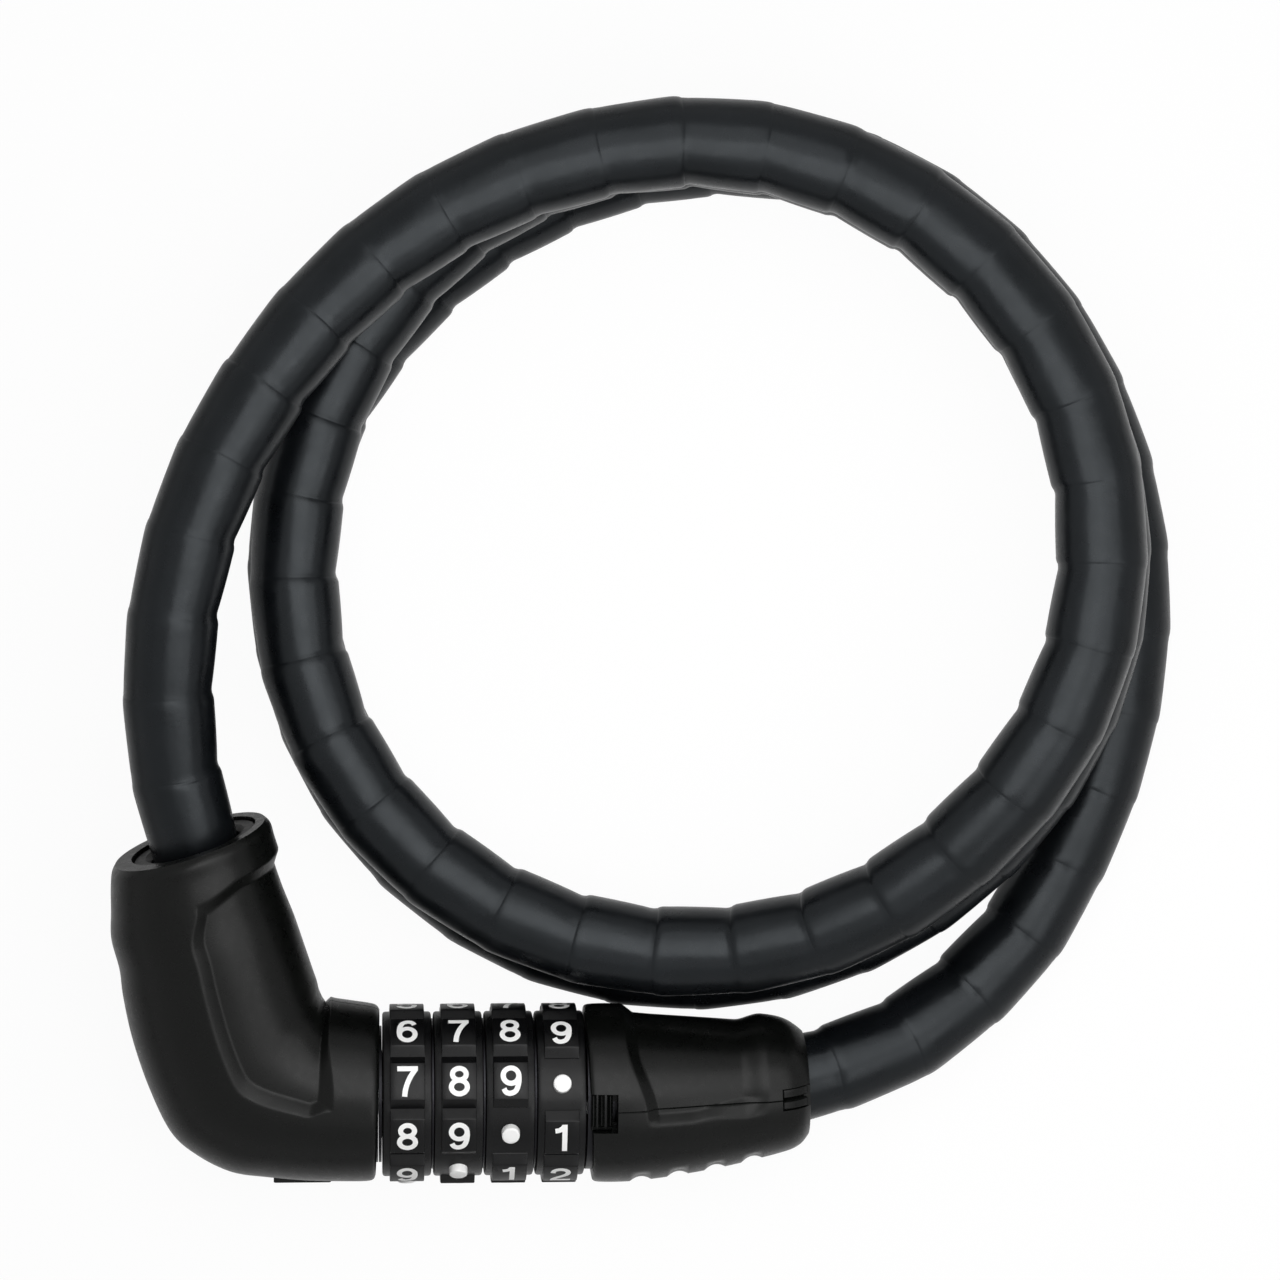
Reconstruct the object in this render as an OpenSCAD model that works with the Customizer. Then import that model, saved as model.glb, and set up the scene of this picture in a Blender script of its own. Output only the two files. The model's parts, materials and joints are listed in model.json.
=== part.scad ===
// Armoured cable lock with four number dials, lying flat and locked, with its cable in a coil.
// The lock frame has its x axis along the dials, v across them towards the coil and w upwards.
// The whole lock lies rolled about its dial axis and leans down towards the handle, because the
// stiff cable lifts the arm of the elbow.

/* [Cable] */
// Outside diameter of the cable
cable_d = 15; // [14.2:0.1:15.4]
// Thickness of the plastic skin over the sleeves, at its corners
skin_t = 0.95; // [0.8:0.05:1.2]
// Distance between the joints of the armour sleeves
sleeve_pitch = 14; // [12:0.5:18]
// Space between two neighbouring sleeves, for the bend
sleeve_gap = 1.7; // [1.5:0.1:2.6]
// Wall of an armour sleeve
sleeve_t = 1.5; // [1:0.1:1.7]
// Diameter of the wire rope
rope_d = 8; // [6:0.2:8.4]
// Depth of the pinch in the skin at each sleeve joint
seam_depth = 0.3; // [0.1:0.05:0.4]
// Length of that pinch along the cable
seam_w = 1.8; // [1:0.1:3]
// Radius of the coil's last turn
loop_r = 67.9; // [66:0.5:74]
// How much wider the first turn lies than the last
loop_spread = 3.4; // [2.5:0.1:5]
// Space between two turns that lie on each other
layer_gap = 0.6; // [0.6:0.1:1.5]

/* [Dials] */
// Diameter over the number panels
dial_d = 30.7; // [30:0.1:31.2]
// Distance between two dials
dial_pitch = 8.7; // [8.5:0.1:9.4]
// Gap between two dials, which holds a washer
dial_gap = 0.4; // [0.3:0.05:0.6]
// Width of a raised number panel
panel_w = 5.9; // [5:0.1:6.6]
// Height of the panels over the dial's shoulders
panel_h = 1.3; // [0.8:0.1:1.6]
// Angle that one V groove between two panels takes
groove_a = 13; // [9:0.5:16]
// Diameter of the stud that stands for nought
stud_d = 3.1; // [2.6:0.1:3.6]
// Bore of a dial
dial_bore_d = 21.8; // [20.8:0.1:22.6]
// Angle of the row of numbers that shows, from the parting line towards the coil
row_a = 25; // [0:1:36]
// How far the last dial stands back from that row
last_dial_lag = 2; // [0:0.5:4]

/* [Mechanism] */
// Diameter of the slotted barrel
barrel_d = 15; // [13.6:0.1:15.4]
// Diameter of the plug pin
pin_d = 6.8; // [6:0.1:7.4]
// Running clearance on the radius
run_c = 0.05; // [0.02:0.01:0.09]
// Radius that the teeth of the plug pin reach
tooth_r = 9; // [8.4:0.1:9.2]
// Width of a tooth
tooth_w = 2.2; // [1.6:0.1:2.6]
// Length of a tooth
tooth_l = 2.8; // [2:0.1:3]
// Width of a code ring along the dials' axis
code_ring_w = 4.6; // [4:0.1:4.8]
// Space on each side of a tooth in its slot and notches
tooth_c = 0.2; // [0.15:0.05:0.4]
// Diameter of the flange behind the last dial
flange_d = 26.2; // [25:0.1:27]
// Diameter of the neck in front of the first dial
neck_d = 23.3; // [22.4:0.1:24.4]
// Diameter of a detent ball
ball_d = 2; // [1.6:0.1:2.2]
// Diameter of the block in the handle and of the one in the elbow
block_d = 19.6; // [19:0.1:20]
// Outside diameter of the steel ends on the wire rope
ferrule_d = 11.2; // [10.4:0.1:11.6]
// Diameter of the cross pins
cross_pin_d = 2.5; // [2:0.1:3]

/* [Handle] */
// Length of the handle
handle_l = 37.7; // [37:0.1:39]
// Angle between the handle and the dials' axis, seen from above
handle_tilt = 2.8; // [1.5:0.1:3.2]
// Angle between the cable and the dials' axis at the handle's mouth
mouth_a = 14; // [13:0.5:15]
// Depth of the thumb recess
thumb_depth = 1.4; // [0.6:0.1:1.8]
// Depth of the finger scallops
scallop_depth = 0.7; // [0.3:0.1:1]
// Distance between two finger scallops
scallop_pitch = 6.5; // [5.5:0.1:6.6]
// Length of the code slider
slider_l = 3.6; // [3:0.1:3.8]
// Width of the code slider, round the handle
slider_w = 6.5; // [5:0.1:7]
// Travel of the code slider
slider_travel = 0.8; // [0.6:0.1:1.4]
// Width of the clip at the handle's mouth
clip_w = 3.6; // [2.4:0.1:4]
// Length of the clip
clip_l = 4.9; // [3.8:0.1:5.2]

/* [Elbow] */
// Height of the outlet's centre over the dials' axis
outlet_v = 44.8; // [44.1:0.1:45.5]
// Angle of the arm from square to the dials' axis
arm_lean = 17.6; // [17.1:0.1:18.1]
// Depth of the grip panel that runs round the inside of the elbow
grip_depth = 1.5; // [0.8:0.1:2]
// Outside diameter of the bush in the outlet
bush_d = 21.8; // [20.4:0.1:22.4]
// Space round the cable in the bush and the handle's mouth
cable_c = 0.4; // [0.3:0.05:0.6]
// Length of the flat pad on the outer side
pad_l = 9.8; // [6:0.2:12]

/* [Lie] */
// Height of the dials' axis over the ground
axis_h = 15.5; // [15.5:0.1:16.4]
// Roll of the lock about its dial axis
roll = 11; // [8:0.5:16]
// Slope of the dials' axis, down towards the handle
tilt = 4; // [2:0.5:5]

/* [Hidden] */

$fn = 64;
tiny = 0.01;

// Places in the lock frame: the middle of the dial stack, and the dials' axis in plan
stack_x = 3.7;
axis_y = -16.2;
// Where the lock stands on the ground: it leans about this place
tilt_x = 28;
dial_n = 4;
numbers = 10;
step_a = 360 / numbers;
dial_w = dial_pitch - dial_gap;
dial_r = dial_d / 2;
shoulder_r = dial_r - panel_h;
dial_bore_r = dial_bore_d / 2;
stack_l = dial_n * dial_pitch - dial_gap;
stack_x0 = stack_x - stack_l / 2;
stack_x1 = stack_x + stack_l / 2;
function dial_x(k) = stack_x + (k - (dial_n + 1) / 2) * dial_pitch;

// Stations along the axis, from the elbow to the handle
washer_t = dial_gap - 0.1;
retainer_t = 0.45;
retainer_x = stack_x0 - 0.15 - retainer_t;
collar_t = 1.35;
collar_x1 = retainer_x - 0.15;
elbow_x1 = collar_x1 - 0.15;
flange_t = 1.3;
flange_x = stack_x1 + 0.3;
block_x = flange_x + flange_t;
handle_x = stack_x1 + 0.85;
barrel_r = barrel_d / 2;
pin_r = pin_d / 2;
notch_r = tooth_r + 0.3;
notch_w = tooth_w + 2 * tooth_c;
flange_r = flange_d / 2;
neck_r = neck_d / 2;
block_r = block_d / 2;
ferrule_r = ferrule_d / 2;
fit_c = 0.1;
tooth_off = code_ring_w / 2 + 0.6 + tooth_l / 2;
pin_x1 = block_x - 0.2;
pin_root = 13;

// Cable sizes, all taken from its outside diameter
cable_r = cable_d / 2;
skin_n = 10;
bore_r = cable_r - skin_t;
sleeve_r = bore_r * cos(180 / skin_n) - 0.1;
sleeve_bore_r = sleeve_r - sleeve_t;
rope_r = min(rope_d / 2, sleeve_bore_r - 0.2);
mouth_bore_r = cable_r + cable_c;

// The handle's mouth, in the lock frame
mouth_x = handle_x + handle_l;
mouth_v = handle_l * sin(handle_tilt) + 0.65;
jacket_in = 9;
handle_rope_in = 19.5;
ferrule_end = 3;
handle_ferrule_l = 7.8;
cross_off = 1.6;

// The elbow's arm, measured along its own axis from where it crosses the dials' axis
outlet_s = outlet_v / cos(arm_lean);
elbow_x = -31.2;
outlet_x = elbow_x - outlet_v * tan(arm_lean);
bush_l = 7;
bush_s1 = outlet_s - 0.5;
bush_s0 = bush_s1 - bush_l;
jacket_s = outlet_s - 16;
elbow_ferrule_s = 13;
elbow_ferrule_l = 13;
elbow_block_s = 21;
arm_block_r = block_r - 0.3;
corner_l = 6;

// ---------- Frames ----------

// A point of the lock frame in the part's frame
function lock_pt(x, v, w = 0) =
  let (up = v * sin(roll) + w * cos(roll), along = x - tilt_x) [
    tilt_x + along * cos(tilt) + up * sin(tilt),
    axis_y + v * cos(roll) - w * sin(roll),
    axis_h - along * sin(tilt) + up * cos(tilt)
  ];

module lock_frame() {
  translate([tilt_x, axis_y, axis_h]) rotate([0, tilt, 0]) translate([-tilt_x, 0, 0]) rotate([roll, 0, 0]) children();
}

// Turns a piece drawn along z so that it lies along the dials' axis, its x towards v and its y up
module on_axis(x = 0) {
  translate([x, 0, 0]) rotate([90, 0, 90]) children();
}

// The handle's frame: x along the handle, y across it, z up
module handle_frame() {
  translate([handle_x, 0, 0]) rotate([0, 0, handle_tilt]) children();
}

// The cable's axis in the handle's mouth, with z pointing out
module mouth_axis(s = 0) {
  translate([mouth_x, mouth_v, 0]) rotate([0, 0, mouth_a]) rotate([0, 90, 0]) translate([0, 0, s]) children();
}

// The elbow's arm, with z pointing out of the outlet and y up
module arm_axis(s = 0) {
  translate([elbow_x, 0, 0]) rotate([0, 0, arm_lean]) rotate([-90, 0, 0]) translate([0, 0, s]) children();
}

// ---------- Curves and skins ----------

function ease(u) = let (c = max(0, min(1, u))) c * c * (3 - 2 * c);
function unit(v) = v / norm(v);

// A smooth curve through a list of rows, cut into n steps between each two
function curve_at(a, b, c, d, t) =
  0.5 * (2 * b + (c - a) * t + (2 * a - 5 * b + 4 * c - d) * t * t + (3 * b - a - 3 * c + d) * t * t * t);
function curve(rows, n) = let (e = len(rows) - 1) [
  for (i = [0:e - 1], k = [0:n - 1])
    curve_at(rows[max(i - 1, 0)], rows[i], rows[i + 1], rows[min(i + 2, e)], k / n),
  rows[e]
];

// Faces of a skin over rings of m points; loop joins the last ring to the first
function side_faces(count, m, loop = false) = [
  for (i = [0:count - (loop ? 1 : 2)], j = [0:m - 1]) each
    let (a = i * m + j, b = i * m + (j + 1) % m, n = ((i + 1) % count) * m)
      [[a, n + j, b], [b, n + j, n + (j + 1) % m]]
];
function cap_faces(count, m) = [
  for (j = [1:m - 2]) each
    [[0, j, j + 1], [(count - 1) * m, (count - 1) * m + j + 1, (count - 1) * m + j]]
];

// A closed solid over rings of points, or a ring-shaped one where loop is set
module skin(rings, loop = false) {
  m = len(rings[0]);
  faces = side_faces(len(rings), m, loop);
  polyhedron([for (r = rings) each r], loop ? faces : concat(faces, cap_faces(len(rings), m)));
}

// ---------- Cable route ----------

mouth_dir = lock_pt(cos(mouth_a), sin(mouth_a)) - lock_pt(0, 0);
mouth_pt = lock_pt(mouth_x, mouth_v);
arm_dir = lock_pt(-sin(arm_lean), cos(arm_lean)) - lock_pt(0, 0);
elbow_pt = lock_pt(elbow_x, 0);

// The coil's centre in plan and the angles at which its turns start and end
coil_c = [39.4, 77.1];
coil_a0 = 316;
coil_a1 = 1170;
run_in_r = 15;
run_in_a = 40;
climb_a = 84;
climb_starts = [622, 982];
// Where a turn is pressed in or swells: angle, amount and half width in degrees
lies = [
  [412, 0.6, 40], [487, -4.5, 66], [548, -0.7, 32], [625, 2.3, 90], [715, 1.5, 60],
  [880, -2, 50], [950, 0.6, 50], [1035, -0.7, 30], [1095, 0.5, 50]
];

function swell(a, p) = abs(a - p[0]) < p[2] ? p[1] * (1 + cos(180 * (a - p[0]) / p[2])) / 2 : 0;
function sum(v, i = 0) = i < len(v) ? v[i] + sum(v, i + 1) : 0;
function coil_r(a) =
  loop_r + loop_spread * (coil_a1 - a) / (coil_a1 - coil_a0)
  + run_in_r * exp(-(a - coil_a0) / run_in_a)
  + sum([for (p = lies) swell(a, p)]);
function coil_z(a) = cable_r + (cable_d + layer_gap) * sum([for (c = climb_starts) ease((a - c) / climb_a)]);
function coil_pt(a) = [coil_c[0] + coil_r(a) * cos(a), coil_c[1] + coil_r(a) * sin(a), coil_z(a)];

// From the handle down to the ground, and from the last turn down to the elbow
run_down = [[69, -11, 12.3], [76.3, -7.8, 10.9], [83.4, -3.5, 9.4], [90.2, 2.7, 8.3], [95.6, 8.1, 7.6]];
run_up = [
  [22, 142.6, 38.7], [5, 136.8, 38.7], [-10.8, 127.3, 38.7], [-24.8, 113.8, 38.7], [-35.7, 98.4, 38.7],
  [-42.2, 84.9, 38.5], [-46.2, 71.8, 37.5], [-48.1, 58.5, 35.7], [-48.2, 46.6, 33.4]
];
coil_step = 12.2;

controls = concat(
  [mouth_pt - jacket_in * mouth_dir, mouth_pt - jacket_in / 2 * mouth_dir, mouth_pt],
  run_down,
  [for (a = [coil_a0:coil_step:coil_a1 - coil_step / 2]) coil_pt(a)],
  [coil_pt(coil_a1)],
  run_up,
  [for (s = [outlet_s + 7, outlet_s, jacket_s]) elbow_pt + s * arm_dir]
);
fine = curve(controls, 8);

// Length run along the fine points up to each, and the point at a given length
function runs(p, i = 0, at = 0) = i == len(p) - 1 ? [at] : concat([at], runs(p, i + 1, at + norm(p[i + 1] - p[i])));
run_at = runs(fine);
cable_l = run_at[len(run_at) - 1];
function seek(s, lo, hi) = hi - lo < 2 ? lo : let (m = floor((lo + hi) / 2)) run_at[m] <= s ? seek(s, m, hi) : seek(s, lo, m);
function along(s) = let (i = seek(s, 0, len(run_at) - 1), t = (s - run_at[i]) / (run_at[i + 1] - run_at[i]))
  fine[i] + (fine[i + 1] - fine[i]) * t;

sleeve_n = round(cable_l / sleeve_pitch);
pitch = cable_l / sleeve_n;
joints = [for (k = [0:sleeve_n]) along(min(k * pitch, cable_l - tiny))];

// The joint nearest to the end of the coil's turns parts the coil from the lead
coil_end_l = run_at[8 * (3 + len(run_down) + ceil((coil_a1 - coil_a0 - coil_step / 2) / coil_step))];
split = round(coil_end_l / pitch);

function seg_dir(k) = unit(joints[k + 1] - joints[k]);
function joint_dir(k) = k == 0 ? seg_dir(0) : k == sleeve_n ? seg_dir(sleeve_n - 1) : unit(seg_dir(k - 1) + seg_dir(k));
function ring(c, dir, r, n) =
  let (side = unit(cross([0, 0, 1], dir)), up = cross(dir, side))
    [for (j = [0:n - 1]) c + r * (side * cos(360 * (j + 0.5) / n) + up * sin(360 * (j + 0.5) / n))];

// Skin of the cable from joint a to joint b: pinched at each joint, straight over each sleeve
function jacket_rings(a, b) = concat(
  [for (k = [a:b]) each concat(
    k == a ? [] : [ring(joints[k] - seg_dir(k - 1) * seam_w / 2, seg_dir(k - 1), cable_r, skin_n)],
    [ring(joints[k], joint_dir(k), cable_r - seam_depth, skin_n)],
    k == b ? [] : [ring(joints[k] + seg_dir(k) * seam_w / 2, seg_dir(k), cable_r, skin_n)]
  )],
  [for (k = [b:-1:a]) ring(joints[k], joint_dir(k), bore_r, skin_n)]
);
module jacket(a, b) {
  color("#1b1d20") skin(jacket_rings(a, b), loop = true);
}

// Turns a piece drawn along z into the direction d
module aim(d) {
  rotate([0, acos(d[2]), atan2(d[1], d[0])]) children();
}

// Armour sleeves from joint a to joint b, each a tube with its ends eased
module sleeves(a, b) {
  l = pitch - sleeve_gap;
  ease_r = 0.4;
  color("#a8abae") for (k = [a:b - 1])
    translate((joints[k] + joints[k + 1]) / 2) aim(seg_dir(k)) rotate_extrude($fn = 32) polygon([
      [sleeve_bore_r, -l / 2], [sleeve_r - ease_r, -l / 2], [sleeve_r, -l / 2 + ease_r],
      [sleeve_r, l / 2 - ease_r], [sleeve_r - ease_r, l / 2], [sleeve_bore_r, l / 2]
    ]);
}

rope_n = 6;
module rope(a, b, before = [], after = []) {
  color("#8d9194") skin(concat(
    before, [for (k = [a:b]) ring(joints[k], joint_dir(k), rope_r, rope_n)], after
  ));
}

// Least space between the coil and itself: each joint against every sleeve more than three away
function to_line(p, a, b) = let (t = max(0, min(1, ((p - a) * (b - a)) / ((b - a) * (b - a))))) norm(p - a - (b - a) * t);
least_gap = min([
  for (i = [0:sleeve_n], j = [0:sleeve_n - 1]) if (j > i + 3 || j < i - 4) to_line(joints[i], joints[j], joints[j + 1])
]) - cable_d;
echo(cable_length = cable_l, sleeves = sleeve_n, pitch = pitch, split = split, least_gap = least_gap);

// ---------- Cable nodes ----------

module coil_jacket() jacket(0, split);
module lead_jacket() jacket(split, sleeve_n);
module coil_sleeves() sleeves(0, split);
module lead_sleeves() sleeves(split, sleeve_n);
module coil_rope() rope(0, split, before = [
  ring(mouth_pt - (handle_rope_in + tiny) * mouth_dir, mouth_dir, rope_r, rope_n)
]);
module lead_rope() rope(split, sleeve_n, after = [
  ring(elbow_pt + (elbow_ferrule_s + ferrule_end) * arm_dir, -arm_dir, rope_r, rope_n)
]);

// ---------- Dials ----------

// One V groove, cut almost down to the shoulders
groove_r = shoulder_r + 0.1;
module panel_groove() {
  half = (dial_r + 0.4) * tan(groove_a / 2) * (dial_r + 0.4 - groove_r) / (dial_r - groove_r);
  linear_extrude(panel_w + 1, center = true)
    polygon([[groove_r, 0], [dial_r + 0.4, half], [dial_r + 0.4, -half]]);
}

key_w = 2.4;
key_h = 0.8;
module ring_keys(c = 0) {
  for (a = [0, 180]) rotate(a) translate([dial_bore_r - 1, -key_w / 2 - c, 0])
    cube([1 + key_h + c, key_w + 2 * c, code_ring_w + 2 * c]);
}

// A dial about its own middle, with the number shown here in the row that shows
module dial(shown, lag) {
  bevel = 0.45;
  half = dial_w / 2;
  nought = (numbers - shown) % numbers;
  color("#1d1e20") rotate(90 - row_a + lag) difference() {
    union() {
      rotate_extrude($fn = 96) polygon([
        [dial_bore_r, -half], [shoulder_r - bevel, -half], [shoulder_r, -half + bevel],
        [shoulder_r, half - bevel], [shoulder_r - bevel, half], [dial_bore_r, half]
      ]);
      difference() {
        rotate_extrude($fn = 96) translate([shoulder_r - 1, -panel_w / 2]) square([panel_h + 1, panel_w]);
        for (k = [0:numbers - 1]) rotate((k + 0.5) * step_a) panel_groove();
        rotate(nought * step_a - step_a / 2) rotate_extrude(angle = step_a, $fn = 96)
          translate([shoulder_r - 0.5, -panel_w]) square([panel_h + 1, 2 * panel_w]);
      }
      rotate(nought * step_a) translate([shoulder_r - 1, 0, 0]) rotate([0, 90, 0])
        cylinder(d1 = stud_d, d2 = stud_d - 0.2, h = panel_h + 1, $fn = 32);
    }
    translate([0, 0, -code_ring_w / 2]) rotate(-(90 - row_a + lag)) ring_keys(0.05);
    translate([0, 0, -dial_w]) cylinder(r = dial_bore_r, h = 2 * dial_w);
  }
}

// The notched ring in a dial: the teeth of the plug pin pass its notch when the number is right
module code_ring() {
  color("#b8a878") difference() {
    union() {
      translate([0, 0, -code_ring_w / 2]) cylinder(r = dial_bore_r - run_c, h = code_ring_w);
      translate([0, 0, -code_ring_w / 2]) ring_keys();
    }
    cylinder(r = barrel_r + run_c, h = 2 * code_ring_w, center = true);
    translate([-notch_w / 2, 0, -code_ring_w]) cube([notch_w, notch_r, 2 * code_ring_w]);
    for (k = [0:numbers - 1]) rotate(k * step_a) translate([0, -barrel_r - run_c, 0])
      cylinder(r = 0.4, h = 2 * code_ring_w, center = true, $fn = 24);
  }
}

module dial_at(k, shown, lag = 0) lock_frame() on_axis(dial_x(k)) dial(shown, lag);
module code_ring_at(k) lock_frame() on_axis(dial_x(k)) code_ring();
module dial_1() dial_at(1, 7);
module dial_2() dial_at(2, 8);
module dial_3() dial_at(3, 9);
module dial_4() dial_at(4, 0, last_dial_lag);
module code_ring_1() code_ring_at(1);
module code_ring_2() code_ring_at(2);
module code_ring_3() code_ring_at(3);
module code_ring_4() code_ring_at(4);

// ---------- Barrel and what is on it ----------

// Space for the teeth, upwards from the axis
module tooth_slot(l, r) {
  translate([-notch_w / 2, 0, 0]) cube([notch_w, r, l]);
}

ball_r = ball_d / 2;
ball_y = barrel_r - ball_r;
pocket_y = pin_r + run_c + 0.7;
module ball_place(k) {
  translate([dial_x(k), 0, 0]) rotate([180, 0, 0]) children();
}

module barrel() {
  l = block_x - retainer_x;
  color("#9a9da0") lock_frame() difference() {
    union() {
      on_axis(retainer_x) cylinder(r = barrel_r, h = l);
      on_axis(flange_x) cylinder(r = flange_r, h = flange_t, $fn = 96);
    }
    on_axis(retainer_x - 1) cylinder(r = pin_r + run_c, h = l + 2);
    on_axis(retainer_x - 1) tooth_slot(l + 2, notch_r);
    for (k = [1:dial_n]) ball_place(k) translate([0, 0, pocket_y])
      cylinder(r = ball_r + 0.05, h = barrel_r, $fn = 24);
  }
}

// A thin ring on the barrel with a notch for the teeth
module keyed_ring(r, t) {
  difference() {
    cylinder(r = r, h = t, $fn = 96);
    translate([0, 0, -1]) cylinder(r = barrel_r + run_c, h = t + 2);
    translate([0, 0, -1]) tooth_slot(t + 2, notch_r);
  }
}

module front_retainer() {
  color("#b4b7ba") lock_frame() on_axis(retainer_x) keyed_ring(neck_r, retainer_t);
}

module dial_washers() {
  color("#b4b7ba") lock_frame() for (k = [1:dial_n - 1])
    on_axis(dial_x(k) + dial_pitch / 2 - washer_t / 2) keyed_ring(shoulder_r - 1.2, washer_t);
}

module detent_balls() {
  color("#c8cacc") lock_frame() for (k = [1:dial_n])
    ball_place(k) translate([0, 0, ball_y]) sphere(r = ball_r, $fn = 32);
}

// A spring behind each ball, as the tube that its turns fill
module detent_springs() {
  color("#c8cacc") lock_frame() for (k = [1:dial_n]) ball_place(k) translate([0, 0, pocket_y]) difference() {
    cylinder(r = ball_r - 0.05, h = ball_y - ball_r - pocket_y, $fn = 24);
    translate([0, 0, -1]) cylinder(r = ball_r - 0.3, h = barrel_r, $fn = 24);
  }
}

// ---------- Handle ----------

// Stations of the handle: along it, its two sides, and its half height
handle_rows = [
  [0, 14.2, -14.4, 14.6], [0.8, 15.1, -15.3, 15.5], [6.5, 14.9, -15.6, 15.5], [12, 14.2, -15.3, 15],
  [18, 13.5, -14.7, 14.3], [24, 12.8, -13.9, 13.4], [29.5, 12.1, -12.9, 12.5], [33, 11.5, -12.2, 11.8],
  [35.2, 10.7, -11.6, 11.1], [36.8, 9.6, -10.7, 10.1], [38, 8.5, -9.3, 8.8]
];
handle_k = handle_l / handle_rows[len(handle_rows) - 1][0];
handle_fine = curve(handle_rows, 6);
handle_in = [for (r = handle_fine) [r[0], r[1]]];
handle_out = [for (r = handle_fine) [r[0], r[2]]];
handle_half_h = [for (r = handle_fine) [r[0], r[3]]];
handle_side_n = 20;
scallop_t0 = 8.4;
scallop_half = 1.85;
scallops = 4;

// Stations along the handle, close together at its ends and in each scallop
handle_ts = concat(
  [0, 0.4, 0.9, 3.6],
  [for (n = [0:scallops - 1], d = [-1, -0.5, 0, 0.5, 1]) scallop_t0 + n * scallop_pitch + d * scallop_half],
  [31.2, 33, 34.4, 35.5, 36.4, 37.1, 37.6, 38]
);

// Where the two halves meet, on an upright surface a little to the coil's side of the axis
function part_q(t) = 0.95 - 0.022 * t;

// How much the surface lies back from its plain form, at t along the handle and the angle a
// from the side towards the coil
function thumb_mask(t, a) =
  ease((t - 6.5 - 2.9 * ease((a - 40) / 50)) / 2.2) * (1 - ease((t - 26) / 5)) * (1 - ease((a - 82.5) / 9));
function scallop_mask(t, a) = let (n = round((t - scallop_t0) / scallop_pitch), d = t - scallop_t0 - n * scallop_pitch)
  n < 0 || n >= scallops || abs(d) > scallop_half ? 0 : (1 - pow(d / scallop_half, 2)) * ease((a - 134) / 16);
function handle_inset(t, a) = thumb_depth * thumb_mask(t, a) + scallop_depth * scallop_mask(t, a);

// One station of the half on the coil's side, or of the other half
function handle_ring(t, coil_side) =
  let (
    in = lookup(t, handle_in), out = lookup(t, handle_out), h = lookup(t, handle_half_h),
    mid = (in + out) / 2, half = (in - out) / 2,
    a1 = acos((part_q(t) - mid) / half), a0 = coil_side ? -a1 : a1 - 360, a2 = coil_side ? a1 : -a1
  ) [for (j = [0:handle_side_n])
      let (a = a0 + (a2 - a0) * j / handle_side_n, r = handle_inset(t, abs(a) > 180 ? 360 - abs(a) : abs(a)))
        [t * handle_k, mid + (half - r) * cos(a), (h - r) * sin(a)]];
function handle_h(t) = lookup(t / handle_k, handle_half_h);

// Room for what the handle holds, and a slot for the slider that is open towards the dials
slot_back = 4;
slot_h = 20;
module handle_room() {
  on_axis(flange_x - 2) cylinder(r = flange_r + fit_c, h = 2 + flange_t, $fn = 96);
  on_axis(block_x - tiny) cylinder(r = sleeve_ring_r + fit_c, h = sleeve_room, $fn = 96);
  on_axis(block_x - tiny) cylinder(r = block_r + fit_c, h = lock_block_l + fit_c, $fn = 96);
  mouth_axis(-handle_rope_in) cylinder(r = mouth_bore_r, h = handle_rope_in + 2);
  translate([handle_x - slot_back, slider_v - slider_w / 2 - fit_c, slider_z0 - fit_c])
    cube([slot_back + slider_x + slider_l + slider_travel + fit_c, slider_w + 2 * fit_c, slot_h]);
  handle_frame() clip_shape(fit_c);
}

module handle_half(coil_side) {
  color("#1b1c1d") lock_frame() difference() {
    handle_frame() skin([for (t = handle_ts) handle_ring(t, coil_side)]);
    handle_room();
  }
}
module handle_shell_upper() handle_half(true);
module handle_shell_lower() handle_half(false);

// ---------- Code slider, change sleeve and clip ----------

sleeve_ring_r = block_r + 1.5;
sleeve_ring_w = 3;
sleeve_room = sleeve_ring_w + slider_travel + 0.6;
slider_x = -0.1;
slider_v = 0.8;
slider_z0 = sleeve_ring_r + 0.05;
slider_top_r = 15.2;
rib_w = 0.8;

module code_slider() {
  base_h = 2.7;
  ribs = 3;
  over_c = 0.2;
  rib_step = (slider_l - rib_w) / (ribs - 1);
  color("#161718") lock_frame() translate([handle_x + slider_x, 0, 0]) intersection() {
    translate([0, slider_v - slider_w / 2, slider_z0]) union() {
      cube([slider_l, slider_w, base_h]);
      for (k = [0:ribs - 1]) translate([k * rib_step, 0, 0]) cube([rib_w, slider_w, 10]);
    }
    difference() {
      on_axis(-1) cylinder(r = slider_top_r, h = slider_l + 2, $fn = 96);
      on_axis(-2) cylinder(r = flange_r + over_c, h = block_x + over_c - handle_x - slider_x + 2, $fn = 96);
    }
  }
}

module shift_sleeve() {
  color("#b8a878") lock_frame() on_axis(block_x + 0.3) difference() {
    cylinder(r = sleeve_ring_r, h = sleeve_ring_w, $fn = 96);
    translate([0, 0, -1]) cylinder(r = block_r + run_c, h = sleeve_ring_w + 2, $fn = 96);
  }
}

// The clip, in the handle's frame, with its top along the handle's back
clip_v = 0.25;
module clip_shape(c = 0) {
  t0 = handle_l - clip_l;
  drop = 0.25;
  top = c > 0 ? 5 : -drop;
  translate([0, clip_v + clip_w / 2 + c, 0]) rotate([90, 0, 0]) linear_extrude(clip_w + 2 * c) polygon([
    [t0 - c, 9.1 - c], [handle_l + c, 9.1 - c], [handle_l + c, max(handle_h(handle_l) + top, 9.5)],
    [handle_l - 1.2, handle_h(handle_l - 1.2) + top], [t0 - c, handle_h(t0) + top]
  ]);
}
module seam_clip() {
  groove = 0.5;
  color("#242628") lock_frame() handle_frame() difference() {
    clip_shape();
    translate([handle_l - clip_l - 1, clip_v - groove / 2, handle_h(handle_l - 2.4) - 0.7])
      rotate([0, 12, 0]) cube([clip_l * 2, groove, 5]);
  }
}

// ---------- Block and cable end in the handle ----------

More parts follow.
